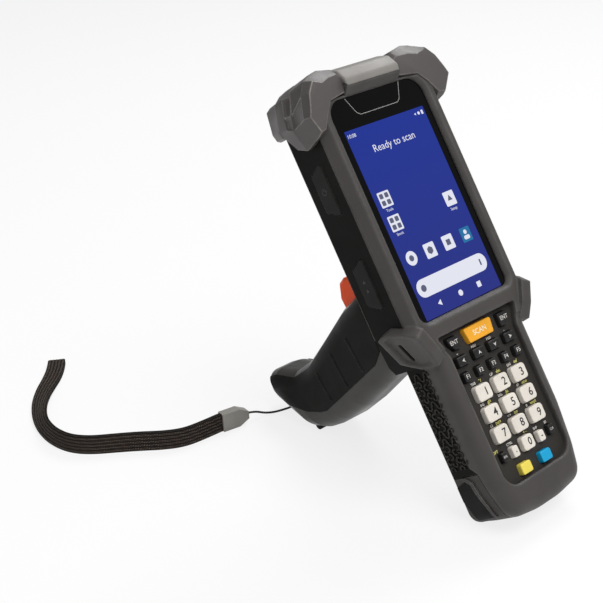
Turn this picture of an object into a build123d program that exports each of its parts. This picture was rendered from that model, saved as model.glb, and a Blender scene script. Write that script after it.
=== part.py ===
from build123d import *
from math import atan2, cos, degrees, hypot, pi, radians, sin, tan
import os

# Pistol-grip barcode terminal. Every piece is drawn in the terminal's own frame: X to the
# user's right, Y towards the head, Z out of the screen, with the glass surface at Z = 0.
# The finished pieces are then stood up, resting on the tail edge and the two grip feet.

# ---- Body ---------------------------------------------------------------------------------
half_width = 39.7        # display section
key_half_width = 31.8    # keypad section, the part that the hand holds
head_y = 66.0            # head end of the housing
waist_y = -50.0          # where the wide display section ends
neck_y = -66.0           # where the narrow keypad section starts
taper_y = -110.0         # where the keypad section starts to close
tail_side_y = -131.0
tail_y = -146.6          # back edge of the tail end, which the terminal rests on
tail_corner_y = -147.2
tail_bow_y = -149.6      # middle of the tail end, seen from the front
tail_side_half_width = 29.6
tail_half_width = 25.5
tail_bow_half_width = 8.0
tail_corner = 9.0
tail_blend = 40.0        # radius that blends the keypad section's slight bends
tail_slope_z = -8.0      # where the tail end starts to slope in towards its back edge
tail_foot_z = -21.0      # and where it stops
rim_z = 2.7              # top of the rim around the glass
rim_bevel = 3.7          # how far the rim's outer bevel runs in
key_front_z = 2.0        # front of the keypad section
shoulder_radius = 6.5    # rounded shoulders beside the keypad
back_z = -30.0           # back of the display section
key_back_z = -27.5       # back of the keypad section
side_bevel = 5.7         # bevel between side walls and back
wall = 2.2
fit = 0.15               # clearance between pieces that drop into each other
run = 0.3                # clearance beside pieces that move

# ---- Seam between the front and rear housings, in side view --------------------------------
seam_z = -3.0
key_seam_z = -9.8
seam_step_y = -48.0
seam_low_y = -56.0
battery_seam_y = -118.0
battery_y = -121.6       # where the battery's end cap starts
battery_seam_z = -6.7
tail_seam_z = -5.2
seal_inset = 0.7
seal_width = 0.8
seal_depth = 0.9

# ---- Glass and screen ------------------------------------------------------------------------
glass_half_width = 31.2
glass_top_y = 62.5
glass_bottom_y = -47.8
glass_top_corner = 9.0
glass_bottom_corner = 4.0
glass_thick = 1.6
glass_ledge_z = 0.8      # height of the rim where it meets the glass
screen_width = 59.5
screen_length = 97.0
screen_thick = 2.6

# ---- Keypad ------------------------------------------------------------------------------------
panel_top_y = -56.4
panel_neck_y = -67.0
panel_bottom_y = -133.5
panel_top_half_width = 28.2
panel_half_width = 24.0
panel_corner = 8.0
panel_top_corner = 1.2
panel_z = -1.0
panel_thick = 1.2
panel_ledge = 0.7
key_top_z = 1.5
key_skirt = 1.5          # height of the flange under the panel
key_flange = 0.45        # how far the flange reaches past the cap
key_draft = 0.28         # how far each side of a cap draws in towards its top
key_edge = 0.5
board_top_z = -5.2
board_thick = 1.6
dome_radius = 2.0
dome_height = 0.25
digit_pitch_x = 13.16
digit_pitch_y = 10.55
digit_top_y = -88.5
digit_width = 10.3
digit_height = 8.1

# ---- Battery -------------------------------------------------------------------------------------
bay_half_width = 26.8
bay_head_y = -69.5
bay_roof_z = -11.5
battery_wall = 1.8
battery_back_wall = 4.5  # deeper, because the latch runs inside it
tongue_z = -7.1          # the rear housing's tongue, which closes the keypad's tail end
tongue_thick = 1.8
tongue_half_width = 22.5
tongue_room_half_width = 23.6   # wide enough for the keypad board's tail end too
tongue_end_y = -132.0
cell_width = 23.5
cell_length = 45.0
cell_thick = 8.7
tail_edge_radius = 2.5   # the rounded tail edge that the terminal rests on
latch_y = -80.0
latch_width = 14.0
latch_length = 5.0
latch_travel = 3.0
latch_base_width = 17.0
latch_base_length = 7.0
latch_base_thick = 1.2
latch_lip = 1.2
latch_proud = 0.5

# ---- Head ----------------------------------------------------------------------------------------
brow_z = 5.2             # top of the raised brow above the glass
brow_y = 66.4            # where the brow meets the head cover
head_block_y = 73.5
head_block_half_width = 29.0
head_block_z = -34.0
bulge_half_width = 21.0
bulge_z = -40.0
bulge_start_y = 20.0
cover_half_width = 18.0
cover_end_y = 78.0
window_half_width = 14.0
window_top_z = -13.0
window_bottom_z = -29.0
window_thick = 1.4
window_ledge = 1.5
# Outline of the right-hand bumper at four heights, outer corners first.
bumper_levels = [
    (6.0, [(17, 66.5), (21, 70.5), (29, 70.5), (37, 72.8), (47, 57.5), (40, 50),
           (38.5, 50), (33, 55), (29.5, 62), (17, 65)]),
    (1.0, [(17, 67), (21, 76.5), (28.5, 78.5), (38.5, 75.5), (48, 58), (42, 48),
           (38.5, 48), (33, 55), (29.5, 62), (17, 65)]),
    (-18.0, [(17, 67), (21, 78), (28.5, 79), (40, 73.5), (44, 60), (42, 45),
             (38.5, 45), (33, 55), (29.5, 62), (17, 65)]),
    (-36.0, [(17, 67), (20, 76), (28, 76), (35, 73), (37, 62), (36, 57),
             (34, 56), (32, 58), (29.5, 62), (17, 65)]),
]
facet_corner = (34.0, 57.25)   # a point of the front facet's inner edge
facet_edge_z = 3.5             # height of the front facet there
facet_slope = 0.27
facet_angle = radians(43.5)    # from X, the way the facet rises

# ---- Side buttons --------------------------------------------------------------------------------
side_button_front_z = -9.5
side_button_back_z = -19.0
side_button_front_length = 27.0
side_button_back_length = 18.0
side_button_upper_y = 26.0
side_button_lower_y = -21.5
side_button_proud = 0.5
side_button_flange = 0.7
button_gap = 0.25        # clearance round a key or a side button in its opening

# ---- Waist lugs ----------------------------------------------------------------------------------
# Each lug stands on the slanted side of the waist. Its outlines are drawn on that side: from
# the middle of the slant towards the head, and Z.
lug_proud = 2.4
lug_root = 4.0
lug_pocket_depth = 1.5
lug_side = [(14.8, -10.5), (12.4, -1.5), (8.2, 5.2), (-2.0, 4.6), (-9.8, 2.4), (-10.6, -1.8),
            (-9.2, -9.2), (-5.8, -14.5), (-2.8, -18.8), (13.0, -18.8)]
lug_pocket_rim = [(13.2, -10.5), (11.1, -2.3), (7.4, 3.7), (-2.0, 3.1), (-8.3, 1.3),
                  (-9.0, -1.9), (-7.7, -8.4), (-4.7, -13.2), (-2.8, -15.6), (12.0, -15.6)]
lug_pocket_floor = [(11.6, -10.6), (9.6, -4.2), (5.6, -1.0), (-2.0, -1.3), (-6.2, -2.0),
                    (-6.9, -3.9), (-6.0, -8.2), (-3.6, -12.4), (-2.0, -14.6), (10.8, -14.6)]
strap_slot_place = (1.5, -10.3)
strap_slot_width = 2.2
strap_slot_length = 11.0
strap_slot_depth = 1.4   # into the rear housing's wall

# ---- Grip ----------------------------------------------------------------------------------------
# Front point (y, z), back point (y, z) and width of each section, from the neck to the base.
grip_sections = [
    ((-20.0, -34.0), (-61.0, -34.0), 33.0),
    ((-22.5, -55.0), (-68.0, -54.0), 33.0),
    ((-27.5, -73.0), (-73.5, -70.0), 32.5),
    ((-37.5, -95.5), (-79.5, -89.0), 32.0),
    ((-46.8, -117.0), (-83.5, -106.5), 32.0),
    ((-49.5, -133.0), (-84.6, -115.5), 32.5),
    ((-45.0, -147.0), (-84.6, -122.0), 33.5),
    ((-44.6, -152.5), (-83.2, -127.8), 33.0),
    ((-50.0, -157.5), (-79.0, -134.5), 27.0),
]
grip_corner = 11.5
grip_wall = 2.4
flange_half_width = 19.0
flange_head_y = 6.0
flange_tail_y = -62.0
flange_thick = 5.0
boss_radius = 4.0
grip_screw_places = [(-52.0, -74.0), (-67.0, -112.0)]   # (y, z)
lanyard_y = -66.4
lanyard_z = -144.6
lanyard_hole_radius = 1.3
foot_centre_y = -81.05   # centre of each foot's round end
foot_centre_z = -130.2
foot_width = 5.5
foot_x = 8.5
foot_depth = 7.0

# ---- Trigger -------------------------------------------------------------------------------------
pivot_y = -28.5
pivot_z = -41.0
pin_radius = 1.5
pin_play = 0.05
pin_length = 22.0
trigger_half_width = 5.8
trigger_hub_radius = 4.4
spring_wire = 0.35
spring_radius = 2.9
spring_pitch = 1.0
spring_turns = 3
spring_x = 2.2
spring_leg = 8.0
spring_tail = 5.4
relief_radius = 4.6
relief_back_y = -30.6
relief_low_z = -52.0
slot_half_width = 6.1
slot_back_y = -37.0
slot_top_z = -34.5
slot_low_z = -78.5
# Side view of the trigger below its hub (y, z).
trigger_profile = [
    (-24.5, -40.0), (-32.4, -41.0), (-32.3, -50.0), (-31.0, -68.0), (-28.5, -76.5),
    (-22.5, -77.0), (-15.2, -73.5), (-13.3, -69.0), (-13.8, -65.0), (-17.5, -56.0), (-19.5, -47.0),
]
switch_y = -41.5
switch_z = -62.0
switch_width = 6.0
switch_depth = 5.5
switch_length = 9.0
plunger_y = -35.4

# ---- Screws --------------------------------------------------------------------------------------
screw_radius = 1.0
screw_head_radius = 2.1
screw_head_height = 1.6
screw_length = 9.0
screw_play = 0.04
screw_boss_radius = 3.0
housing_screw_places = [(31.5, 56.0), (-31.5, 56.0), (28.5, -57.5), (-28.5, -57.5)]   # (x, y)
housing_screw_z = -17.0  # seat of the screw heads
grip_screw_x = 8.0
grip_screw_length = 16.0

# ---- Electronics ---------------------------------------------------------------------------------
main_board_z = -9.0
main_board_clearance = 4.5   # beside the board, inside the side walls
main_board_width = 2 * (half_width - wall - main_board_clearance)
main_board_length = 92.0
engine_width = 24.0
engine_length = 15.0
engine_height = 13.0
engine_z = -21.0
engine_front_y = 70.0
speaker_radius = 5.5
speaker_height = 4.0
speaker_x = half_width - 13.7
speaker_y = 14.0

# ---- Wrist strap, lying on the floor -------------------------------------------------------------
cord_diameter = 1.2
webbing_width = 10.5
webbing_thick = 3.0
slider_thick = 5.4
slider_tip_half_height = 2.2
slider_tip_length = 6.0
# The lanyard's route: x and y from the point where it leaves the grip, z above the floor.
cord_route = [
    (0.0, -3.0, 15.55), (0.0, 0.8, 5.6), (-12.0, 9.6, 1.2),
    (-19.0, 14.2, 0.9), (-27.0, 16.2, 5.0), (-34.0, 17.3, 5.25),
]
slider_tip = (-31.0, 16.7)
slider_tail = (-47.0, 19.7)
# The webbing's middle line from the same point, and how far it leans over, in degrees.
webbing_route = [
    (-47.0, 19.7, 0.0), (-59.0, 20.4, 0.0), (-71.0, 22.0, 0.0), (-80.5, 28.2, 2.0),
    (-89.5, 37.1, 4.0), (-99.5, 45.8, 2.0), (-109.2, 53.8, 0.0), (-115.8, 63.5, 2.0),
    (-117.6, 76.0, 8.0), (-115.3, 90.0, 20.0), (-108.5, 105.0, 42.0), (-98.0, 120.5, 66.0),
    (-86.5, 133.0, 82.0), (-74.5, 143.5, 90.0), (-64.8, 153.5, 90.0), (-58.5, 162.0, 90.0),
]

os.makedirs("parts", exist_ok=True)

# ---- Standing pose -------------------------------------------------------------------------------
# The tail edge and the feet are rounded to one radius, so the terminal tilts by the angle of
# the line through their centres.
tail_centre_y = tail_y + tail_edge_radius
tail_centre_z = key_back_z + tail_edge_radius
tilt = atan2(tail_centre_z - foot_centre_z, foot_centre_y - tail_centre_y)
pieces = []
waist_lean = atan2(half_width - key_half_width, waist_y - neck_y)
lug_plane = Plane(
    origin=((half_width + key_half_width) / 2, (waist_y + neck_y) / 2, 0),
    x_dir=(sin(waist_lean), cos(waist_lean), 0),
    z_dir=(cos(waist_lean), -sin(waist_lean), 0),
)
side_buttons = [
    ("side_button_left_upper", -1, side_button_upper_y),
    ("side_button_left_lower", -1, side_button_lower_y),
    ("side_button_right_lower", 1, side_button_lower_y),
]


def key_box(x, y, width, height):
    """Corners of a rectangular key, counter-clockwise."""
    left, right = x - width / 2, x + width / 2
    low, high = y - height / 2, y + height / 2
    return [(left, low), (right, low), (right, high), (left, high)]


# Outline and corner radius of each key, and the place of its dome.
enter_outline = [(14.4, -58.7), (14.4, -65.3), (19, -65.3), (22, -61), (22, -58.7)]
key_outlines = {
    "key_scan": ([(-10, -57.9), (-8.75, -65.7), (8.75, -65.7), (10, -57.9)], 1.2),
    "key_enter_right": (enter_outline, 0.8),
    "key_enter_left": ([(-x, y) for x, y in enter_outline[::-1]], 0.8),
    "key_0": (key_box(0, -119.4, 8.4, 7.3), 1.8),
    "key_point": (key_box(-9.8, -120, 4.6, 5.8), 1.2),
    "key_dash": (key_box(9.8, -120, 4.6, 5.8), 1.2),
    "key_escape": (key_box(-17.5, -119.7, 4, 5), 0.8),
    "key_clear": (key_box(17.5, -119.7, 4, 5), 0.8),
    "key_yellow": (key_box(-7.5, -129.2, 7.7, 5.8), 1.2),
    "key_blue": (key_box(7.5, -129.2, 7.7, 5.8), 1.2),
}
key_domes = [
    (0, -61.8), (17.8, -62), (-17.8, -62), (0, -119.4), (-9.8, -120), (9.8, -120),
    (-17.5, -119.7), (17.5, -119.7), (-7.5, -129.2), (7.5, -129.2),
]
for label, x in [("key_left", -17.1), ("key_up", -5.6), ("key_down", 5.6), ("key_right", 17.1)]:
    key_outlines[label] = (key_box(x, -71, 8, 4.9), 0.8)
    key_domes.append((x, -71))
for number in range(5):
    x = 9.25 * (number - 2)
    key_outlines[f"key_f{number + 1}"] = (key_box(x, -78.7, 5.2, 4.8), 0.8)
    key_domes.append((x, -78.7))
for number in range(9):
    x = digit_pitch_x * (number % 3 - 1)
    y = digit_top_y - digit_pitch_y * (number // 3)
    key_outlines[f"key_{number + 1}"] = (key_box(x, y, digit_width, digit_height), 2.0)
    key_domes.append((x, y))


# ---- Outlines that several pieces share ----------------------------------------------------------
def both_sides(right):
    """Right-hand points and their mirror images, as one closed outline."""
    return [(-x, y) for x, y in right] + right[::-1]


def body_plan(inset=0.0):
    """The housing seen from the front, drawn inset inside its outer walls."""
    right = [
        (half_width, head_y),
        (half_width, waist_y),
        (key_half_width, neck_y),
        (key_half_width, taper_y),
        (tail_side_half_width, tail_side_y),
        (tail_half_width, tail_corner_y),
        (tail_bow_half_width, tail_bow_y),
    ]
    with BuildSketch() as plan:
        Polygon(*both_sides(right), align=None)
        for y, radius in [
            (taper_y, tail_blend), (tail_side_y, tail_blend),
            (tail_corner_y, tail_corner), (tail_bow_y, tail_blend),
        ]:
            fillet([v for v in plan.vertices() if abs(v.Y - y) < 0.01], radius)
        if inset:
            offset(amount=-inset, kind=Kind.INTERSECTION)
    return plan.sketch


def glass_plan(grow=0.0):
    """The glass outline, drawn grow outside it."""
    with BuildSketch() as plan:
        with Locations((0, (glass_top_y + glass_bottom_y) / 2)):
            Rectangle(2 * (glass_half_width + grow), glass_top_y - glass_bottom_y + 2 * grow)
        fillet(plan.vertices().group_by(Axis.Y)[-1], glass_top_corner + grow)
        fillet(plan.vertices().group_by(Axis.Y)[0], glass_bottom_corner + grow)
    return plan.sketch


def panel_plan(grow=0.0):
    """The keypad panel's outline, drawn grow outside it."""
    right = [
        (panel_top_half_width + grow, panel_top_y + grow),
        (panel_half_width + grow, panel_neck_y),
        (panel_half_width + grow, panel_bottom_y - grow),
    ]
    with BuildSketch() as plan:
        Polygon(*both_sides(right), align=None)
        fillet(plan.vertices().group_by(Axis.Y)[0], panel_corner + grow)
        fillet(plan.vertices().group_by(Axis.Y)[-1], panel_top_corner)
    return plan.sketch


def behind_seam(gap=0.0):
    """Side view of everything behind the seam, drawn gap behind it."""
    with BuildSketch() as plan:
        Polygon(
            (cover_end_y, seam_z - gap),
            (seam_step_y, seam_z - gap),
            (seam_low_y, key_seam_z - gap),
            (battery_seam_y, key_seam_z - gap),
            (battery_y, battery_seam_z - gap),
            (tail_bow_y, tail_seam_z - gap),
            (tail_bow_y, bulge_z),
            (cover_end_y, bulge_z),
            align=None,
        )
    return plan.sketch


def side_button_plan(centre_y, grow=0.0):
    """A side button seen from the side, drawn grow outside it."""
    with BuildSketch() as plan:
        Polygon(
            (centre_y - side_button_front_length / 2, side_button_front_z),
            (centre_y - side_button_back_length / 2, side_button_back_z),
            (centre_y + side_button_back_length / 2, side_button_back_z),
            (centre_y + side_button_front_length / 2, side_button_front_z),
            align=None,
        )
        fillet(plan.vertices(), 1.5)
        if grow:
            offset(amount=grow)
    return plan.sketch


def window_plan(grow=0.0):
    """The scan window seen from the head end, drawn grow outside it."""
    with BuildSketch() as plan:
        with Locations((0, (window_top_z + window_bottom_z) / 2)):
            RectangleRounded(
                2 * (window_half_width + grow),
                window_top_z - window_bottom_z + 2 * grow,
                2 + grow,
            )
    return plan.sketch


def key_plan(label, grow=0.0):
    """One key's outline, drawn grow outside it."""
    outline, corner = key_outlines[label]
    with BuildSketch() as plan:
        Polygon(*outline, align=None)
        fillet(plan.vertices(), corner)
        if grow:
            offset(amount=grow)
    return plan.sketch


def grip_plane(front, back):
    """Plane of a grip section through its front and back points, facing up the grip."""
    return Plane(
        origin=(0, (front[0] + back[0]) / 2, (front[1] + back[1]) / 2),
        x_dir=(1, 0, 0),
        z_dir=(0, back[1] - front[1], front[0] - back[0]),
    )


def span(low_y, high_y):
    """A strip across the whole width, to keep one stretch of a plan."""
    with BuildSketch() as strip:
        with Locations((0, (low_y + high_y) / 2)):
            Rectangle(4 * half_width, high_y - low_y)
    return strip.sketch


# ---- Rear bodies before hollowing ----------------------------------------------------------------
with BuildPart() as display_mass:
    with BuildSketch(Plane.XY):
        add(body_plan())
        add(span(neck_y, head_y), mode=Mode.INTERSECT)
    extrude(amount=back_z)
    with BuildSketch(Plane.XZ.offset(-head_y)):
        Polygon(
            *both_sides([
                (half_width, 0),
                (half_width, back_z + side_bevel),
                (half_width - side_bevel, back_z),
            ]),
            align=None,
        )
    extrude(amount=head_y - neck_y, mode=Mode.INTERSECT)
    chamfer(display_mass.faces().sort_by(Axis.Z)[0].edges().sort_by(Axis.Y)[-1], side_bevel)

with BuildPart() as tail_mass:
    with BuildSketch(Plane.XY):
        add(body_plan())
        add(span(tail_bow_y, neck_y), mode=Mode.INTERSECT)
    extrude(amount=key_back_z)
    with BuildSketch(Plane.XZ.offset(-neck_y)):
        Polygon(
            *both_sides([
                (key_half_width, 0),
                (key_half_width, key_back_z + side_bevel),
                (key_half_width - side_bevel + 1, key_back_z),
            ]),
            align=None,
        )
    extrude(amount=neck_y - tail_bow_y, mode=Mode.INTERSECT)
    with BuildSketch(Plane.YZ):
        Polygon(
            (tail_bow_y, tail_slope_z),
            (tail_y, tail_foot_z),
            (tail_y, key_back_z),
            (tail_bow_y, key_back_z),
            align=None,
        )
    extrude(amount=half_width, both=True, mode=Mode.SUBTRACT)
    tail_edges = tail_mass.faces().sort_by(Axis.Z)[0].edges().filter_by(Axis.X)
    fillet(tail_edges.sort_by(Axis.Y)[0], tail_edge_radius)

# ---- Waist lug ------------------------------------------------------------------------------------
# The ear along each side of the waist, with its pocket and the slot for a strap's hook.
with BuildPart() as lug_slot:
    with BuildSketch(lug_plane.offset(lug_proud)):
        with Locations(strap_slot_place):
            SlotOverall(strap_slot_length, strap_slot_width)
    extrude(amount=-lug_proud - strap_slot_depth)

with BuildPart() as lug:
    with BuildSketch(lug_plane.offset(-lug_root)):
        Polygon(*lug_side, align=None)
    extrude(amount=lug_root + lug_proud)
    fillet(lug.faces().sort_by(Axis(lug_plane.origin, lug_plane.z_dir))[-1].edges(), 0.8)
    # the pocket, with walls that slope down to its floor
    with BuildSketch(lug_plane.offset(lug_proud)):
        Polygon(*lug_pocket_rim, align=None)
    with BuildSketch(lug_plane.offset(lug_proud - lug_pocket_depth)):
        Polygon(*lug_pocket_floor, align=None)
    loft(ruled=True, mode=Mode.SUBTRACT)
    add(lug_slot.part, mode=Mode.SUBTRACT)
    # clear of the rear housing: beside the display up to the seam, and beside the keypad up to
    # where the shoulder starts
    with BuildSketch(Plane.XY.offset(seam_z)):
        add(body_plan())
        add(span(waist_y, head_y), mode=Mode.INTERSECT)
    extrude(amount=back_z, mode=Mode.SUBTRACT)
    with BuildSketch(Plane.XY.offset(key_front_z - shoulder_radius)):
        add(body_plan())
    extrude(amount=back_z, mode=Mode.SUBTRACT)

# ---- Front housing -------------------------------------------------------------------------------
with BuildPart() as front_housing:
    # keypad section, with its rounded shoulders
    with BuildSketch(Plane.XY.offset(key_seam_z)):
        add(body_plan())
        add(span(tail_bow_y, waist_y), mode=Mode.INTERSECT)
    extrude(amount=key_front_z - key_seam_z)
    shoulder = front_housing.faces().sort_by(Axis.Z)[-1].edges().sort_by(Axis.Y)[:-1]
    fillet(shoulder, shoulder_radius)
    # display frame, bevelled all round
    with BuildSketch(Plane.XY.offset(seam_z)):
        add(body_plan())
        add(span(neck_y, head_y), mode=Mode.INTERSECT)
    extrude(amount=rim_z - seam_z, taper=degrees(atan2(rim_bevel, rim_z - seam_z)))
    # brow under the head cover
    with BuildSketch(Plane.YZ):
        Polygon(
            (glass_top_y - 2, seam_z),
            (glass_top_y - 2, brow_z),
            (brow_y, brow_z),
            (brow_y + 2, brow_z - 2),
            (brow_y + 2, seam_z),
            align=None,
        )
    extrude(amount=cover_half_width, both=True)
    # trim everything behind the seam, then add what hangs below it
    with BuildSketch(Plane.YZ):
        add(behind_seam())
    extrude(amount=2 * half_width, both=True, mode=Mode.SUBTRACT)
    add(lug.part)
    add(mirror(lug.part, about=Plane.YZ, mode=Mode.PRIVATE))
    with BuildSketch(Plane.XY.offset(seam_z)):
        with Locations(*housing_screw_places):
            Circle(screw_boss_radius)
    extrude(amount=housing_screw_z + screw_length - 4 - seam_z)
    # glass pocket, with sloping sides above the glass and the screen's place below it
    with BuildSketch(Plane.XY.offset(-glass_thick)):
        add(glass_plan(fit))
    extrude(amount=brow_z + 2 * glass_thick, mode=Mode.SUBTRACT)
    with BuildSketch(Plane.XY.offset(glass_ledge_z)):
        add(glass_plan(fit))
    extrude(amount=brow_z, taper=-45, mode=Mode.SUBTRACT)
    with BuildSketch(Plane.XY.offset(seam_z)):
        Rectangle(screen_width + 2 * fit, screen_length + 2 * fit)
    extrude(amount=glass_thick, both=True, mode=Mode.SUBTRACT)
    # keypad pocket: the panel's recess, and the through opening inside its ledge
    with BuildSketch(Plane.XY.offset(panel_z - panel_thick)):
        add(panel_plan(fit))
    extrude(amount=2 * key_front_z + panel_thick, mode=Mode.SUBTRACT)
    with BuildSketch(Plane.XY.offset(panel_z)):
        add(panel_plan(-panel_ledge))
    extrude(amount=key_seam_z, mode=Mode.SUBTRACT)
    # threaded holes in the bosses
    with BuildSketch(Plane.XY.offset(housing_screw_z)):
        with Locations(*housing_screw_places):
            Circle(screw_radius + screw_play)
    extrude(amount=screw_length + 0.5, mode=Mode.SUBTRACT)
front_housing.part.label = "front_housing"
pieces.append(front_housing.part)

# ---- Rear body before hollowing, with the head block and the bulge over the scan engine ----------
with BuildPart() as rear_mass:
    add(display_mass.part)
    add(tail_mass.part)
    with BuildSketch(Plane.XY.offset(seam_z)):
        add(span(head_y - 10, head_block_y))
        Rectangle(2 * head_block_half_width, 4 * head_block_y, mode=Mode.INTERSECT)
    extrude(amount=head_block_z - seam_z)
    with BuildSketch(Plane.YZ):
        Polygon(
            (head_block_y, back_z),
            (head_block_y - 2, bulge_z),
            (bulge_start_y + 14, bulge_z),
            (bulge_start_y, back_z),
            align=None,
        )
    extrude(amount=bulge_half_width, both=True)
    chamfer(rear_mass.faces().sort_by(Axis.Z)[0].edges(), 3)
    with BuildSketch(Plane.YZ):
        add(behind_seam())
    extrude(amount=2 * half_width, both=True, mode=Mode.INTERSECT)

# ---- Rear housing --------------------------------------------------------------------------------
with BuildPart() as rear_housing:
    add(rear_mass.part)
    # cavities behind the screen and in the head
    with BuildSketch(Plane.XY.offset(seam_z)):
        add(body_plan(wall))
        add(span(neck_y + wall, head_y - wall), mode=Mode.INTERSECT)
    extrude(amount=back_z - seam_z + side_bevel, mode=Mode.SUBTRACT)
    with BuildSketch(Plane.XY.offset(back_z + side_bevel)):
        add(body_plan(side_bevel + wall / 2))
        add(span(waist_y, head_y - side_bevel), mode=Mode.INTERSECT)
    extrude(amount=wall - side_bevel, mode=Mode.SUBTRACT)
    with BuildSketch(Plane.YZ):
        Polygon(
            (head_block_y - wall, 2 * seam_z),
            (head_block_y - wall, back_z),
            (head_block_y - wall - 2, bulge_z + wall),
            (bulge_start_y + 14, bulge_z + wall),
            (bulge_start_y + wall, back_z),
            (bulge_start_y + wall, 2 * seam_z),
            align=None,
        )
    extrude(amount=bulge_half_width - wall, both=True, mode=Mode.SUBTRACT)
    # space between the keypad board and the battery
    with BuildSketch(Plane.XY.offset(key_seam_z)):
        add(panel_plan(-panel_ledge))
        add(span(battery_y + wall, seam_low_y), mode=Mode.INTERSECT)
    extrude(amount=-0.2, mode=Mode.SUBTRACT)
    # battery bay, open at the back, and the end that the battery's own cap closes
    with BuildSketch(Plane.XY.offset(bay_roof_z)):
        add(span(tail_y, bay_head_y))
        Rectangle(2 * bay_half_width, 4 * head_y - 2 * tail_y, mode=Mode.INTERSECT)
    extrude(amount=2 * key_back_z, mode=Mode.SUBTRACT)
    with BuildSketch(Plane.XY):
        add(span(2 * tail_y, battery_y))
    extrude(amount=2 * key_back_z, mode=Mode.SUBTRACT)
    # tongue under the tail end of the keypad
    with BuildSketch(Plane.XY.offset(tongue_z)):
        add(panel_plan(-panel_ledge))
        add(span(tail_y, battery_seam_y), mode=Mode.INTERSECT)
    extrude(amount=-tongue_z, mode=Mode.SUBTRACT)
    with BuildSketch(Plane.XY.offset(tongue_z)):
        add(span(tongue_end_y, battery_y + wall))
        Rectangle(2 * tongue_half_width, 4 * head_y - 2 * tail_y, mode=Mode.INTERSECT)
    extrude(amount=-tongue_thick)
    # ends of the lugs' slots
    add(lug_slot.part, mode=Mode.SUBTRACT)
    add(mirror(lug_slot.part, about=Plane.YZ, mode=Mode.PRIVATE), mode=Mode.SUBTRACT)
    # openings for the side buttons
    for _, side, centre_y in side_buttons:
        with BuildSketch(Plane.YZ.offset(side * half_width)):
            add(side_button_plan(centre_y, button_gap))
        extrude(amount=-side * 2 * wall, mode=Mode.SUBTRACT)
    # scan window's recess and opening, and the seat of the scan engine
    with BuildSketch(Plane.XZ.offset(-head_block_y)):
        add(window_plan(fit))
    extrude(amount=window_thick, mode=Mode.SUBTRACT)
    with BuildSketch(Plane.XZ.offset(-head_block_y)):
        add(window_plan(-window_ledge))
    extrude(amount=2 * wall, mode=Mode.SUBTRACT)
    with BuildSketch(Plane.XY.offset(bulge_z + wall / 2)):
        with Locations((0, engine_front_y - engine_length / 2)):
            Rectangle(engine_width - 4, engine_length - 3)
    extrude(amount=engine_z - engine_height / 2 - bulge_z - wall / 2)
    # sound holes over the speaker
    with BuildSketch(Plane.XY.offset(back_z)):
        with Locations((speaker_x, speaker_y)):
            with PolarLocations(3, 6):
                Circle(0.6)
            Circle(0.6)
    extrude(amount=wall, mode=Mode.SUBTRACT)
    # room for the front housing's screw bosses
    with BuildSketch(Plane.XY.offset(seam_z)):
        with Locations(*housing_screw_places):
            Circle(screw_boss_radius + fit)
    extrude(amount=housing_screw_z + screw_length - 4 - fit - seam_z, mode=Mode.SUBTRACT)
    # screw bosses, and the posts under the main board and the keypad board
    with BuildSketch(Plane.XY.offset(back_z)):
        with Locations(*housing_screw_places):
            Circle(screw_boss_radius)
    extrude(amount=housing_screw_z + screw_length - 4 - fit - back_z)
    with BuildSketch(Plane.XY.offset(back_z + wall / 2)):
        with GridLocations(main_board_width - 8, main_board_length - 24, 2, 2):
            Circle(screw_boss_radius)
    extrude(amount=main_board_z - 1.6 - back_z - wall / 2)
    with BuildSketch(Plane.XY.offset(bay_roof_z)):
        with Locations((0, (bay_head_y + battery_y) / 2)):
            with GridLocations(36, 44, 2, 2):
                Circle(2)
    extrude(amount=board_top_z - board_thick - bay_roof_z)
    with BuildSketch(Plane.XY.offset(back_z - 1)):
        with Locations(*housing_screw_places):
            Circle(screw_head_radius + fit)
    extrude(amount=housing_screw_z - back_z + 1, mode=Mode.SUBTRACT)
    with BuildSketch(Plane.XY.offset(housing_screw_z)):
        with Locations(*housing_screw_places):
            Circle(screw_radius + fit)
    extrude(amount=screw_length, mode=Mode.SUBTRACT)
    # groove for the seal
    with BuildSketch(Plane.XY.offset(seam_z)):
        add(body_plan(seal_inset))
        add(span(seam_step_y, head_y - seal_inset), mode=Mode.INTERSECT)
        add(body_plan(seal_inset + seal_width), mode=Mode.SUBTRACT)
    extrude(amount=-seal_depth, mode=Mode.SUBTRACT)
rear_housing.part.label = "rear_housing"
pieces.append(rear_housing.part)

# ---- Head cover, the strip between the two bumpers -----------------------------------------------
with BuildPart() as head_cover:
    with BuildSketch(Plane.YZ):
        Polygon(
            (brow_y, brow_z),
            (brow_y + 2, brow_z - 2),
            (brow_y + 2, seam_z),
            (head_block_y, seam_z),
            (head_block_y, window_top_z + 2),
            (cover_end_y, window_top_z + 2),
            (cover_end_y, -5.0),
            (cover_end_y - 2.5, 2.0),
            (brow_y + 3.6, brow_z + 0.3),
            align=None,
        )
    extrude(amount=cover_half_width, both=True)
head_cover.part.label = "head_cover"
pieces.append(head_cover.part)

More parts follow.
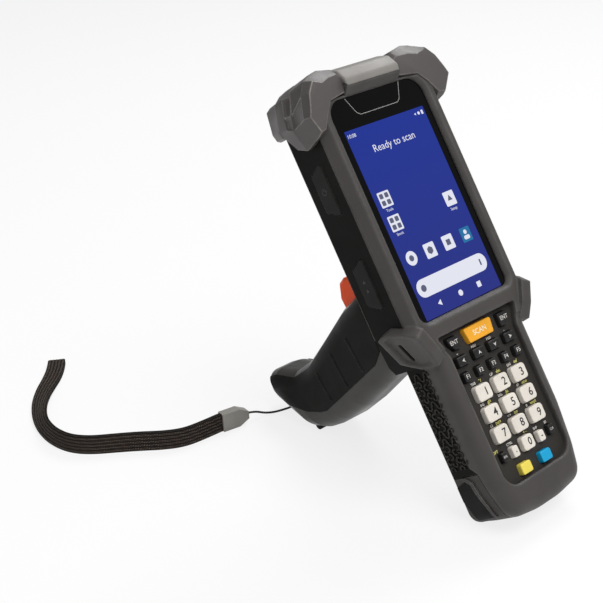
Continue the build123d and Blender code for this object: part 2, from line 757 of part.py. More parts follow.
# ---- Head bumpers, which wrap the two corners of the head ----------------------------------------
with BuildPart() as bumper_block:
    for height, outline in bumper_levels:
        with BuildSketch(Plane.XY.offset(height)):
            Polygon(*outline, align=None)
    loft(ruled=True)
    # front facet
    with BuildSketch(
        Plane(
            origin=(*facet_corner, facet_edge_z),
            x_dir=(-sin(facet_angle), cos(facet_angle), 0),
            z_dir=(-facet_slope * cos(facet_angle), -facet_slope * sin(facet_angle), 1),
        )
    ):
        Rectangle(4 * head_y, 4 * head_y)
    extrude(amount=head_y, mode=Mode.SUBTRACT)
    # clear of the glass opening's sloping sides
    with BuildSketch(Plane.XY.offset(glass_ledge_z)):
        add(glass_plan(fit))
    extrude(amount=2 * brow_z, taper=-45, mode=Mode.SUBTRACT)
    add(rear_mass.part, mode=Mode.SUBTRACT)
    add(front_housing.part, mode=Mode.SUBTRACT)
    add(rear_housing.part, mode=Mode.SUBTRACT)
    add(head_cover.part, mode=Mode.SUBTRACT)

with BuildPart() as head_bumper_right:
    add(bumper_block.part.solids().sort_by(SortBy.VOLUME)[-1])
head_bumper_right.part.label = "head_bumper_right"
pieces.append(head_bumper_right.part)

with BuildPart() as head_bumper_left:
    mirror(head_bumper_right.part, about=Plane.YZ)
head_bumper_left.part.label = "head_bumper_left"
pieces.append(head_bumper_left.part)

# ---- Scan window and scan engine -----------------------------------------------------------------
with BuildPart() as scan_window:
    with BuildSketch(Plane.XZ.offset(-head_block_y)):
        add(window_plan())
    extrude(amount=window_thick)
scan_window.part.label = "scan_window"
pieces.append(scan_window.part)

with BuildPart() as scan_engine:
    with BuildSketch(Plane.XZ.offset(-engine_front_y)):
        with Locations((0, engine_z)):
            Rectangle(engine_width, engine_height)
    extrude(amount=engine_length)
    with BuildSketch(Plane.XZ.offset(-engine_front_y)):
        with Locations((5, engine_z)):
            Circle(3.6)
        with Locations((-6, engine_z)):
            Circle(2.2)
    extrude(amount=-0.8)
scan_engine.part.label = "scan_engine"
pieces.append(scan_engine.part)

# ---- Glass, screen and seal ----------------------------------------------------------------------
with BuildPart() as display_glass:
    with BuildSketch(Plane.XY.offset(-glass_thick)):
        add(glass_plan())
    extrude(amount=glass_thick)
display_glass.part.label = "display_glass"
pieces.append(display_glass.part)

with BuildPart() as lcd_panel:
    with BuildSketch(Plane.XY.offset(-glass_thick - screen_thick)):
        Rectangle(screen_width, screen_length)
    extrude(amount=screen_thick)
lcd_panel.part.label = "lcd_panel"
pieces.append(lcd_panel.part)

with BuildPart() as housing_seal:
    with BuildSketch(Plane.XY.offset(seam_z - seal_depth)):
        add(body_plan(seal_inset))
        add(span(seam_step_y, head_y - seal_inset), mode=Mode.INTERSECT)
        add(body_plan(seal_inset + seal_width), mode=Mode.SUBTRACT)
    extrude(amount=seal_depth)
housing_seal.part.label = "housing_seal"
pieces.append(housing_seal.part)

# ---- Keypad: the panel, the board with a dome under each key, and the keys -----------------------
with BuildPart() as keypad_panel:
    with BuildSketch(Plane.XY.offset(panel_z - panel_thick)):
        add(panel_plan())
        for label in key_outlines:
            add(key_plan(label, button_gap), mode=Mode.SUBTRACT)
    extrude(amount=panel_thick)
keypad_panel.part.label = "keypad_panel"
pieces.append(keypad_panel.part)

with BuildPart() as keypad_board:
    with BuildSketch(Plane.XY.offset(board_top_z - board_thick)):
        add(panel_plan(-panel_ledge - fit))
        add(span(tongue_end_y, head_y), mode=Mode.INTERSECT)
    extrude(amount=board_thick)
    with BuildSketch(Plane.XY.offset(board_top_z)):
        with Locations(*key_domes):
            Circle(dome_radius)
    extrude(amount=dome_height)
keypad_board.part.label = "keypad_board"
pieces.append(keypad_board.part)

key_root_z = panel_z - panel_thick - run
for label in key_outlines:
    with BuildPart() as key_cap:
        with BuildSketch(Plane.XY.offset(key_root_z)):
            add(key_plan(label))
        with BuildSketch(Plane.XY.offset(key_top_z)):
            add(key_plan(label, -key_draft))
        loft(ruled=True)
        fillet(key_cap.faces().sort_by(Axis.Z)[-1].edges(), key_edge)
        with BuildSketch(Plane.XY.offset(key_root_z - key_skirt)):
            add(key_plan(label, key_flange))
        extrude(amount=key_skirt)
    key_cap.part.label = label
    pieces.append(key_cap.part)

# ---- Side buttons --------------------------------------------------------------------------------
for label, side, centre_y in side_buttons:
    with BuildPart() as side_button:
        with BuildSketch(Plane.YZ.offset(side * (half_width + side_button_proud))):
            add(side_button_plan(centre_y))
        extrude(amount=-side * (side_button_proud + wall + run))
        chamfer(side_button.faces().sort_by(Axis.X)[0 if side < 0 else -1].edges(), 0.4)
        with BuildSketch(Plane.YZ.offset(side * (half_width - wall - run))):
            add(side_button_plan(centre_y, side_button_flange))
        extrude(amount=-side * 3 * run)
    side_button.part.label = label
    pieces.append(side_button.part)

# ---- Main board and speaker ----------------------------------------------------------------------
with BuildPart() as main_board:
    with BuildSketch(Plane.XY.offset(main_board_z - board_thick)):
        Rectangle(main_board_width, main_board_length)
    extrude(amount=board_thick)
    # processor and memory under their shields
    with BuildSketch(Plane.XY.offset(main_board_z)):
        with Locations((-12, 18)):
            Rectangle(26, 22)
        with Locations((14, -16)):
            Rectangle(20, 26)
    extrude(amount=1.8)
main_board.part.label = "main_board"
pieces.append(main_board.part)

with BuildPart() as speaker:
    with BuildSketch(Plane.XY.offset(back_z + wall)):
        with Locations((speaker_x, speaker_y)):
            Circle(speaker_radius)
    extrude(amount=speaker_height)
speaker.part.label = "speaker"
pieces.append(speaker.part)

# ---- Housing screws ------------------------------------------------------------------------------
with BuildPart() as housing_screws:
    with BuildSketch(Plane.XY.offset(housing_screw_z)):
        with Locations(*housing_screw_places):
            Circle(screw_radius)
    extrude(amount=screw_length)
    with BuildSketch(Plane.XY.offset(housing_screw_z)):
        with Locations(*housing_screw_places):
            Circle(screw_head_radius)
    extrude(amount=-screw_head_height)
    with BuildSketch(Plane.XY.offset(housing_screw_z - screw_head_height)):
        with Locations(*housing_screw_places):
            RegularPolygon(screw_radius, 6)
    extrude(amount=screw_head_height / 2, mode=Mode.SUBTRACT)
housing_screws.part.label = "housing_screws"
pieces.append(housing_screws.part)

# ---- Battery: the case with its end cap, two cells and the latch ---------------------------------
with BuildPart() as battery_case:
    add(tail_mass.part)
    with BuildSketch(Plane.YZ):
        add(behind_seam(run))
    extrude(amount=2 * half_width, both=True, mode=Mode.INTERSECT)
    with BuildSketch(Plane.XY):
        add(span(2 * tail_y, battery_y - run))
    extrude(amount=2 * key_back_z, mode=Mode.INTERSECT)
    # body in the bay
    with BuildSketch(Plane.XY.offset(key_back_z)):
        add(span(battery_y - 2, bay_head_y - run))
        Rectangle(2 * (bay_half_width - run), 4 * head_y - 2 * tail_y, mode=Mode.INTERSECT)
    extrude(amount=bay_roof_z - run - key_back_z)
    # room for the rear housing's tongue and the tail end of the keypad board
    with BuildSketch(Plane.XY.offset(tongue_z - tongue_thick - run)):
        add(span(tongue_end_y - run, battery_y))
        Rectangle(2 * tongue_room_half_width, 4 * head_y - 2 * tail_y, mode=Mode.INTERSECT)
    extrude(amount=2 * tongue_thick - tongue_z, mode=Mode.SUBTRACT)
    # sealed room for the cells
    with BuildSketch(Plane.XY.offset(key_back_z + battery_back_wall)):
        add(span(battery_y + 2, bay_head_y - run - battery_wall))
        Rectangle(
            2 * (bay_half_width - run - battery_wall), 4 * head_y - 2 * tail_y, mode=Mode.INTERSECT
        )
    extrude(amount=bay_roof_z - run - battery_wall - key_back_z - battery_back_wall, mode=Mode.SUBTRACT)
    # latch: the opening for its thumb piece, and the slot that its base runs in
    with BuildSketch(Plane.XY.offset(key_back_z)):
        with Locations((0, latch_y - latch_travel / 2)):
            Rectangle(latch_width + 2 * run, latch_length + latch_travel + 2 * run)
    extrude(amount=latch_lip, mode=Mode.SUBTRACT)
    with BuildSketch(Plane.XY.offset(key_back_z + latch_lip)):
        with Locations((0, latch_y - latch_travel / 2)):
            Rectangle(latch_base_width + 2 * run, latch_base_length + latch_travel + 2 * run)
    extrude(amount=latch_base_thick + 2 * run, mode=Mode.SUBTRACT)
battery_case.part.label = "battery_case"
pieces.append(battery_case.part)

with BuildPart() as battery_cells:
    with BuildSketch(Plane.XY.offset(key_back_z + battery_back_wall)):
        with Locations((0, (battery_y + bay_head_y) / 2)):
            with GridLocations(cell_width + 1, 1, 2, 1):
                RectangleRounded(cell_width, cell_length, 2)
    extrude(amount=cell_thick)
battery_cells.part.label = "battery_cells"
pieces.append(battery_cells.part)

with BuildPart() as battery_latch:
    with BuildSketch(Plane.XY.offset(key_back_z + latch_lip + run)):
        with Locations((0, latch_y)):
            Rectangle(latch_base_width, latch_base_length)
    extrude(amount=latch_base_thick)
    with BuildSketch(Plane.XY.offset(key_back_z - latch_proud)):
        with Locations((0, latch_y)):
            Rectangle(latch_width, latch_length)
    extrude(amount=latch_proud + latch_lip + run)
    # finger grooves
    with BuildSketch(Plane.XY.offset(key_back_z - latch_proud)):
        with Locations((0, latch_y)):
            with GridLocations(1, latch_length / 3, 1, 3):
                Rectangle(latch_width, latch_length / 8)
    extrude(amount=latch_proud, mode=Mode.SUBTRACT)
battery_latch.part.label = "battery_latch"
pieces.append(battery_latch.part)

# ---- Grip feet: two rounded rubber ribs under the rear edge of the grip's base -------------------
foot_direction = degrees(atan2(cos(tilt), sin(tilt)))
with BuildPart() as grip_feet:
    for side in (-1, 1):
        with BuildSketch(Plane.YZ.offset(side * foot_x - foot_width / 2)):
            with Locations(
                (foot_centre_y + foot_depth / 2 * sin(tilt), foot_centre_z + foot_depth / 2 * cos(tilt))
            ):
                SlotCenterToCenter(foot_depth, 2 * tail_edge_radius, rotation=foot_direction)
        extrude(amount=foot_width)
grip_feet.part.label = "grip_feet"
pieces.append(grip_feet.part)

# ---- Grip: outer and inner forms, then the two shells --------------------------------------------
with BuildPart() as grip_outer:
    for front, back, width in grip_sections:
        with BuildSketch(grip_plane(front, back)):
            RectangleRounded(width, hypot(front[0] - back[0], front[1] - back[1]), grip_corner)
    loft(ruled=True)

with BuildPart() as grip_inner:
    for front, back, width in grip_sections[:-1]:
        with BuildSketch(grip_plane(front, back)):
            RectangleRounded(
                width - 2 * grip_wall,
                hypot(front[0] - back[0], front[1] - back[1]) - 2 * grip_wall,
                grip_corner - grip_wall,
            )
    loft(ruled=True)

with BuildPart() as grip_bosses:
    with BuildSketch(Plane.YZ):
        with Locations((pivot_y, pivot_z), *grip_screw_places):
            Circle(boss_radius)
    extrude(amount=2 * grip_corner, both=True)
    add(grip_outer.part, mode=Mode.INTERSECT)

lanyard_front, lanyard_back, _ = grip_sections[-1]
lanyard_plane = grip_plane(lanyard_front, lanyard_back)
with BuildPart() as grip_body:
    add(grip_outer.part)
    with BuildSketch(Plane.XY.offset(back_z)):
        with Locations((0, (flange_head_y + flange_tail_y) / 2)):
            RectangleRounded(2 * flange_half_width, flange_head_y - flange_tail_y, 6)
    extrude(amount=-flange_thick)
    add(grip_inner.part, mode=Mode.SUBTRACT)
    add(grip_bosses.part)
    # slot for the trigger, with a stop for the spring's upper leg
    with BuildSketch(Plane.YZ):
        Polygon(
            (slot_back_y, slot_low_z),
            (0, slot_low_z),
            (0, slot_top_z),
            (slot_back_y, slot_top_z),
            align=None,
        )
    extrude(amount=slot_half_width, both=True, mode=Mode.SUBTRACT)
    with BuildSketch(Plane.YZ.offset(spring_x - 0.6)):
        Polygon(
            (pivot_y - spring_radius - 3, pivot_z + 2),
            (pivot_y - spring_radius - 0.6, pivot_z + 2),
            (pivot_y - spring_radius - 0.6, slot_top_z + 1),
            (pivot_y - spring_radius - 3, slot_top_z + 1),
            align=None,
        )
    extrude(amount=boss_radius + 1.5)
    # bores: trigger pin, shell screws, lanyard
    with BuildSketch(Plane.YZ):
        with Locations((pivot_y, pivot_z)):
            Circle(pin_radius + 0.02)
    extrude(amount=pin_length / 2 + 0.1, both=True, mode=Mode.SUBTRACT)
    with BuildSketch(Plane.YZ.offset(grip_screw_x - grip_screw_length - 0.5)):
        with Locations(*grip_screw_places):
            Circle(screw_radius + screw_play)
    extrude(amount=grip_screw_length + 0.5, mode=Mode.SUBTRACT)
    with BuildSketch(Plane.YZ.offset(grip_screw_x)):
        with Locations(*grip_screw_places):
            Circle(screw_head_radius + fit)
    extrude(amount=2 * grip_corner, mode=Mode.SUBTRACT)
    with BuildSketch(Plane(origin=(0, lanyard_y, lanyard_z), z_dir=lanyard_plane.z_dir)):
        Circle(lanyard_hole_radius)
    extrude(amount=8, both=True, mode=Mode.SUBTRACT)
    # seats of the feet, and the rib that carries the trigger switch
    add(grip_feet.part, mode=Mode.SUBTRACT)
    with BuildSketch(Plane.YZ.offset(-switch_width / 2)):
        with Locations((switch_y, switch_z)):
            Rectangle(switch_depth, switch_length)
    extrude(amount=-(grip_corner - 0.5))

with BuildPart() as grip_right_shell:
    add(grip_body.part)
    split(bisect_by=Plane.YZ, keep=Keep.TOP)
grip_right_shell.part.label = "grip_right_shell"
pieces.append(grip_right_shell.part)

with BuildPart() as grip_left_shell:
    add(grip_body.part)
    split(bisect_by=Plane.YZ, keep=Keep.BOTTOM)
grip_left_shell.part.label = "grip_left_shell"
pieces.append(grip_left_shell.part)

with BuildPart() as grip_screws:
    with BuildSketch(Plane.YZ.offset(grip_screw_x)):
        with Locations(*grip_screw_places):
            Circle(screw_radius)
    extrude(amount=-grip_screw_length)
    with BuildSketch(Plane.YZ.offset(grip_screw_x)):
        with Locations(*grip_screw_places):
            Circle(screw_head_radius)
    extrude(amount=screw_head_height)
    with BuildSketch(Plane.YZ.offset(grip_screw_x + screw_head_height)):
        with Locations(*grip_screw_places):
            RegularPolygon(screw_radius, 6)
    extrude(amount=-screw_head_height / 2, mode=Mode.SUBTRACT)
grip_screws.part.label = "grip_screws"
pieces.append(grip_screws.part)

# ---- Trigger, its pin, spring and switch ---------------------------------------------------------
with BuildPart() as trigger:
    with BuildSketch(Plane.YZ):
        Polygon(*trigger_profile, align=None)
        with Locations((pivot_y, pivot_z)):
            Circle(trigger_hub_radius)
    extrude(amount=trigger_half_width, both=True)
    front_edges = [
        edge
        for edge in trigger.faces().filter_by(Axis.X).edges()
        if edge.center().Y > -26 and edge.center().Z < -43
    ]
    chamfer(front_edges, 1.2)
    with BuildSketch(Plane.YZ):
        with Locations((pivot_y, pivot_z)):
            Circle(pin_radius + pin_play)
    extrude(amount=2 * trigger_half_width, both=True, mode=Mode.SUBTRACT)
    # room for the spring round the pin and down the back
    with BuildSketch(Plane.YZ.offset(spring_x - 0.7)):
        with Locations((pivot_y, pivot_z)):
            Circle(relief_radius)
        Polygon(
            (slot_back_y, relief_low_z),
            (relief_back_y, relief_low_z),
            (relief_back_y, pivot_z),
            (slot_back_y, pivot_z),
            align=None,
        )
    extrude(amount=trigger_half_width, mode=Mode.SUBTRACT)
trigger.part.label = "trigger"
pieces.append(trigger.part)

with BuildPart() as trigger_pin:
    with BuildSketch(Plane.YZ):
        with Locations((pivot_y, pivot_z)):
            Circle(pin_radius)
    extrude(amount=pin_length / 2, both=True)
trigger_pin.part.label = "trigger_pin"
pieces.append(trigger_pin.part)

with BuildPart() as spring_form:
    with BuildLine() as spring_path:
        coil = Helix(spring_pitch, spring_pitch * spring_turns, spring_radius)
        Line(coil @ 0 - (coil % 0) * spring_leg, coil @ 0)
        Line(coil @ 1, coil @ 1 + (coil % 1) * spring_tail)
    with BuildSketch(Plane(origin=spring_path.wires()[0] @ 0, z_dir=spring_path.wires()[0] % 0)):
        Circle(spring_wire)
    sweep(path=spring_path.wires()[0])

spring_place = Plane(
    origin=(spring_x + spring_pitch * spring_turns, pivot_y, pivot_z), x_dir=(0, -1, 0), z_dir=(-1, 0, 0)
)
with BuildPart() as trigger_spring:
    add(spring_form.part.moved(spring_place.location))
trigger_spring.part.label = "trigger_spring"
pieces.append(trigger_spring.part)

with BuildPart() as trigger_switch:
    with BuildSketch(Plane.YZ):
        with Locations((switch_y, switch_z)):
            Rectangle(switch_depth, switch_length)
    extrude(amount=switch_width / 2, both=True)
    with BuildSketch(Plane.XZ.offset(-switch_y - switch_depth / 2)):
        with Locations((0, switch_z)):
            Circle(1.2)
    extrude(amount=switch_y + switch_depth / 2 - plunger_y)
trigger_switch.part.label = "trigger_switch"
pieces.append(trigger_switch.part)

# ---- Standing pose: tilt about X, then set down on the floor, centred ----------------------------
tilted = Location((0, 0, 0), (degrees(tilt), 0, 0))
boxes = [piece.moved(tilted).bounding_box() for piece in pieces]
centre_shift = -(min(box.min.Y for box in boxes) + max(box.max.Y for box in boxes)) / 2
lift = tail_edge_radius - (tail_centre_y * sin(tilt) + tail_centre_z * cos(tilt))
resting = Location((0, centre_shift, lift), (degrees(tilt), 0, 0))
print("tilt", round(degrees(tilt), 3), "shift", round(centre_shift, 3), "lift", round(lift, 3))
print("lowest", round(min(box.min.Z for box in boxes) + lift, 3))

# ---- Wrist strap ---------------------------------------------------------------------------------
# A lanyard out of the grip's base, a slider and the folded webbing, all on the floor.
lanyard_exit = (resting * Location((0, lanyard_y, lanyard_z))).position
cord_points = [Vector(lanyard_exit.X + x, lanyard_exit.Y + y, z) for x, y, z in cord_route]
cord_runs = [after - before for before, after in zip(cord_points, cord_points[1:])]
cord_radii = [
    0.45 * min(before.length, after.length) / tan(radians(before.get_angle(after)) / 2)
    for before, after in zip(cord_runs, cord_runs[1:])
]
print("lanyard exit", lanyard_exit, "radii", [round(radius, 1) for radius in cord_radii])
with BuildPart() as lanyard_cord:
    with BuildLine() as cord_path:
        FilletPolyline(*cord_points, radius=cord_radii)
    with BuildSketch(Plane(origin=cord_path.wires()[0] @ 0, z_dir=cord_path.wires()[0] % 0)):
        Circle(cord_diameter / 2)
    sweep(path=cord_path.wires()[0])
lanyard_cord.part.label = "lanyard_cord"
cord_length = cord_path.wires()[0].length
cord_volume = pi * (cord_diameter / 2) ** 2 * cord_length
print("cord length", round(cord_length, 2), "volume", lanyard_cord.part.volume / cord_volume)

slider_start = Vector(lanyard_exit.X + slider_tip[0], lanyard_exit.Y + slider_tip[1], webbing_width / 2)
slider_end = Vector(lanyard_exit.X + slider_tail[0], lanyard_exit.Y + slider_tail[1], webbing_width / 2)
slider_axis = (slider_end - slider_start).normalized()
slider_length = (slider_end - slider_start).length
with BuildPart() as strap_slider:
    slider_side = slider_axis.cross(Vector(0, 0, 1))
    with BuildSketch(Plane(origin=slider_start, x_dir=slider_axis, z_dir=slider_side)):
        Polygon(
            (0, -slider_tip_half_height),
            (slider_tip_length, -webbing_width / 2),
            (slider_length, -webbing_width / 2),
            (slider_length, webbing_width / 2),
            (slider_tip_length, webbing_width / 2),
            (0, slider_tip_half_height),
            align=None,
        )
    extrude(amount=slider_thick / 2, both=True)
    add(lanyard_cord.part, mode=Mode.SUBTRACT)
strap_slider.part.label = "strap_slider"

band_points = [Vector(lanyard_exit.X + x, lanyard_exit.Y + y, 0) for x, y, _ in webbing_route]
band_length = sum((after - before).length for before, after in zip(band_points, band_points[1:]))
with BuildPart() as strap_webbing:
    for place, (_, _, lean) in enumerate(webbing_route):
        before = band_points[max(place - 1, 0)]
        after = band_points[min(place + 1, len(band_points) - 1)]
        along = (after - before).normalized() if place else slider_axis
        beside = along.cross(Vector(0, 0, 1))
        upward = Vector(0, 0, cos(radians(lean))) + beside * sin(radians(lean))
        height = webbing_width / 2 * cos(radians(lean)) + webbing_thick / 2 * sin(radians(lean))
        centre = band_points[place] + Vector(0, 0, height)
        with BuildSketch(Plane(origin=centre, x_dir=upward, z_dir=along)):
            Rectangle(webbing_width, webbing_thick)
    loft()
strap_webbing.part.label = "strap_webbing"
band_volume = webbing_width * webbing_thick * band_length
print("webbing length", round(band_length, 1), "volume", strap_webbing.part.volume / band_volume)

# ---- Export --------------------------------------------------------------------------------------
for piece in pieces:
    standing = piece.moved(resting)
    standing.label = piece.label
    export_step(standing, f"parts/{piece.label}.step")
for piece in (lanyard_cord.part, strap_slider.part, strap_webbing.part):
    export_step(piece, f"parts/{piece.label}.step")
print(len(pieces) + 3, "pieces")
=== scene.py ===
from math import cos, pi, radians, sin

import bmesh
import bpy
from mathutils import Matrix, Vector


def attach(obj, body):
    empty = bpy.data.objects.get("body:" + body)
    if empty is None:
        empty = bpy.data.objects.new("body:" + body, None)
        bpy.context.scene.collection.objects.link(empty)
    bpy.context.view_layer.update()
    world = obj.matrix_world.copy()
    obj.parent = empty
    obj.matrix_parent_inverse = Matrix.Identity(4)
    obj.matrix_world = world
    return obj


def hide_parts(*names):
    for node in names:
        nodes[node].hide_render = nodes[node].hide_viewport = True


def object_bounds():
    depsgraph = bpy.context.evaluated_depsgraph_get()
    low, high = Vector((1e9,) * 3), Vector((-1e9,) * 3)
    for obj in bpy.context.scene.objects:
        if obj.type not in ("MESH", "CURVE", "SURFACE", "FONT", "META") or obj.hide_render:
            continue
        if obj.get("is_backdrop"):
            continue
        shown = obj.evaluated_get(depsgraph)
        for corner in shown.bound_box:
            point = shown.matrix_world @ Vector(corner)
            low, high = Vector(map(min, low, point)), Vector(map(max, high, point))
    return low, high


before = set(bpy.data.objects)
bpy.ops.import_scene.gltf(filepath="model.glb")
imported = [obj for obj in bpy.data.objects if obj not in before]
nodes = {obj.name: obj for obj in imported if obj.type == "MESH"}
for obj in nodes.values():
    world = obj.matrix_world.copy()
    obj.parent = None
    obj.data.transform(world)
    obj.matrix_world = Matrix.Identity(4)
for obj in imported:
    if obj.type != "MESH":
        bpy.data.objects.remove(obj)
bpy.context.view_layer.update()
scene = bpy.context.scene
scene.view_settings.view_transform = "Standard"

# ---- Camera ---------------------------------------------------------------------------------
# A long lens, above and to the left of the terminal, which looks down on its screen.
camera_data = bpy.data.cameras.new("camera")
camera_data.lens = 80.095
camera = bpy.data.objects.new("camera", camera_data)
camera.matrix_world = Matrix((
    (0.72181, 0.31839, -0.61450, -0.44462),
    (-0.68977, 0.25837, -0.67636, -0.41575),
    (-0.05658, 0.91207, 0.40611, 0.36030),
    (0, 0, 0, 1),
))
scene.collection.objects.link(camera)
scene.camera = camera

# ---- Lanyard --------------------------------------------------------------------------------
# A thin twisted nylon cord. It is knotted inside the grip's base, comes out of the hole in it,
# and runs along the table into the strap's slider.
cord_diameter = 0.0012
lanyard_exit = (0.0, 0.073302, 0.007663)
lanyard_route = [
    (0.0, 0.070302, 0.01555), (0.0, 0.074102, 0.0056), (-0.012, 0.082902, 0.0012),
    (-0.019, 0.087502, 0.0009), (-0.027, 0.089502, 0.005), (-0.034, 0.090602, 0.00525),
]


def paint(red, green, blue):
    """A paint's tone on the 0 to 255 scale, as the linear colour that a shader takes."""
    tone = [(v / 255 / 12.92) if v < 10.3 else ((v / 255 + 0.055) / 1.055) ** 2.4 for v in (red, green, blue)]
    return (*tone, 1.0)


def new_finish(name, roughness, specular=0.5):
    """A material with its node tree, its links' short form and its shader."""
    finish = bpy.data.materials.new(name)
    finish.use_nodes = True
    shader = finish.node_tree.nodes["Principled BSDF"]
    shader.inputs["Roughness"].default_value = roughness
    shader.inputs["Specular IOR Level"].default_value = specular
    return finish, finish.node_tree, shader


def coordinates(tree, output, scale=(1, 1, 1), turn=(0, 0, 0), place=(0, 0, 0)):
    """Texture coordinates of one kind, through a Mapping node."""
    source = tree.nodes.new("ShaderNodeTexCoord")
    mapping = tree.nodes.new("ShaderNodeMapping")
    mapping.inputs["Scale"].default_value = scale
    mapping.inputs["Rotation"].default_value = turn
    mapping.inputs["Location"].default_value = place
    tree.links.new(source.outputs[output], mapping.inputs["Vector"])
    return mapping.outputs["Vector"]


def two_tones(tree, factor, first, second):
    """A colour that goes from one tone to another with a factor."""
    blend = tree.nodes.new("ShaderNodeMix")
    blend.data_type = "RGBA"
    tree.links.new(factor, blend.inputs["Factor"])
    for socket, tone in ((blend.inputs["A"], first), (blend.inputs["B"], second)):
        if isinstance(tone, tuple):
            socket.default_value = tone
        else:
            tree.links.new(tone, socket)
    return blend.outputs["Result"]


def ranged(tree, value, low, high, start=0.0, end=1.0):
    """A value moved from the range start to end into the range low to high."""
    node = tree.nodes.new("ShaderNodeMapRange")
    tree.links.new(value, node.inputs["Value"])
    for socket, number in zip(("From Min", "From Max", "To Min", "To Max"), (start, end, low, high)):
        node.inputs[socket].default_value = number
    return node.outputs["Result"]


twist, tree, shader = new_finish("twisted nylon", 0.6)
along = coordinates(tree, "UV", scale=(70, 3, 1), turn=(0, 0, 0.5))
strands = tree.nodes.new("ShaderNodeTexWave")
strands.inputs["Scale"].default_value = 1.0
tree.links.new(along, strands.inputs["Vector"])
tree.links.new(
    two_tones(tree, strands.outputs["Fac"], paint(18, 17, 16), paint(58, 55, 52)),
    shader.inputs["Base Color"],
)
tree.links.new(ranged(tree, strands.outputs["Fac"], 0.7, 0.45), shader.inputs["Roughness"])
relief = tree.nodes.new("ShaderNodeBump")
relief.inputs["Distance"].default_value = 0.0001
tree.links.new(strands.outputs["Fac"], relief.inputs["Height"])
tree.links.new(relief.outputs["Normal"], shader.inputs["Normal"])


def route_curve(name, points):
    """A smooth curve that is led by the route's points."""
    curve = bpy.data.curves.new(name, "CURVE")
    curve.dimensions = "3D"
    spline = curve.splines.new("NURBS")
    spline.points.add(len(points) - 1)
    for control, point in zip(spline.points, points):
        control.co = (*point, 1)
    spline.order_u = 3
    spline.use_endpoint_u = True
    spline.resolution_u = 12
    return bpy.data.objects.new(name, curve)


lanyard = route_curve("lanyard", lanyard_route)
lanyard.data.bevel_depth = cord_diameter / 2
lanyard.data.bevel_resolution = 3
lanyard.data.use_fill_caps = True
lanyard.data.materials.append(twist)
scene.collection.objects.link(lanyard)
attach(lanyard, "terminal")
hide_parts("lanyard_cord")

# ---- Slider ---------------------------------------------------------------------------------
# A moulded plastic clamp that holds the lanyard and both plies of the strap. Its edges are
# rounded, and its skin has a fine spark-eroded grain.
grain = bpy.data.node_groups.new("moulded skin", "ShaderNodeTree")
for label, number in (
    ("Grain scale", 2600.0), ("Grain height", 0.00002), ("Edge radius", 0.0004), ("Edge bend", 0.75),
):
    socket = grain.interface.new_socket(label, in_out="INPUT", socket_type="NodeSocketFloat")
    socket.default_value = number
grain.interface.new_socket("Normal", in_out="OUTPUT", socket_type="NodeSocketVector")
grain.interface.new_socket("Edge", in_out="OUTPUT", socket_type="NodeSocketFloat")
grain.interface.new_socket("Mottle", in_out="OUTPUT", socket_type="NodeSocketFloat")
given = grain.nodes.new("NodeGroupInput")
made = grain.nodes.new("NodeGroupOutput")
skin = coordinates(grain, "Object")
pits = grain.nodes.new("ShaderNodeTexNoise")
pits.inputs["Detail"].default_value = 2.0
grain.links.new(skin, pits.inputs["Vector"])
grain.links.new(given.outputs["Grain scale"], pits.inputs["Scale"])
clouds = grain.nodes.new("ShaderNodeTexNoise")
clouds.inputs["Scale"].default_value = 60.0
clouds.inputs["Detail"].default_value = 5.0
clouds.inputs["Roughness"].default_value = 0.65
grain.links.new(skin, clouds.inputs["Vector"])
rounded = grain.nodes.new("ShaderNodeBevel")
rounded.samples = 4
grain.links.new(given.outputs["Edge radius"], rounded.inputs["Radius"])
flat = grain.nodes.new("ShaderNodeNewGeometry")
agreement = grain.nodes.new("ShaderNodeVectorMath")
agreement.operation = "DOT_PRODUCT"
grain.links.new(rounded.outputs["Normal"], agreement.inputs[0])
grain.links.new(flat.outputs["Normal"], agreement.inputs[1])
# the edge mask, broken up by noise, turns edges paler: partly rubbed wear, partly a painted highlight where rounded
# edges catch the light
edge_mask = ranged(grain, agreement.outputs["Value"], 1.0, 0.0, 0.75, 0.995)
grain.links.new(given.outputs["Edge bend"], edge_mask.node.inputs["From Min"])
scuffs_and_highlights = grain.nodes.new("ShaderNodeMath")
scuffs_and_highlights.operation = "MULTIPLY"
grain.links.new(edge_mask, scuffs_and_highlights.inputs[0])
grain.links.new(ranged(grain, clouds.outputs["Fac"], 0.2, 1.0, 0.35, 0.6), scuffs_and_highlights.inputs[1])
relief = grain.nodes.new("ShaderNodeBump")
grain.links.new(given.outputs["Grain height"], relief.inputs["Distance"])
grain.links.new(pits.outputs["Fac"], relief.inputs["Height"])
grain.links.new(rounded.outputs["Normal"], relief.inputs["Normal"])
grain.links.new(relief.outputs["Normal"], made.inputs["Normal"])
grain.links.new(scuffs_and_highlights.outputs["Value"], made.inputs["Edge"])
grain.links.new(ranged(grain, clouds.outputs["Fac"], 0.0, 1.0, 0.3, 0.7), made.inputs["Mottle"])


def moulded(
    name, tone, worn_and_highlit, roughness, specular=0.3, change=0.12, scale=2600.0, height=0.00002, edge=0.0004, bend=0.75,
):
    """Moulded plastic or rubber: its tone, the paler tone its edges turn to (partly wear, partly a painted highlight),
    its gloss and its grain.
    """
    finish, tree, shader = new_finish(name, roughness, specular)
    surface = tree.nodes.new("ShaderNodeGroup")
    surface.node_tree = grain
    for label, number in (("Grain scale", scale), ("Grain height", height), ("Edge radius", edge), ("Edge bend", bend)):
        surface.inputs[label].default_value = number
    darker = tuple(v * 0.86 for v in paint(*tone)[:3]) + (1.0,)
    body = two_tones(tree, surface.outputs["Mottle"], darker, paint(*tone))
    tree.links.new(two_tones(tree, surface.outputs["Edge"], body, paint(*worn_and_highlit)), shader.inputs["Base Color"])
    tree.links.new(
        ranged(tree, surface.outputs["Mottle"], roughness + change / 2, roughness - change / 2),
        shader.inputs["Roughness"],
    )
    tree.links.new(surface.outputs["Normal"], shader.inputs["Normal"])
    return finish


slider_plastic = moulded("slider plastic", (150, 148, 142), (190, 188, 182), 0.45)


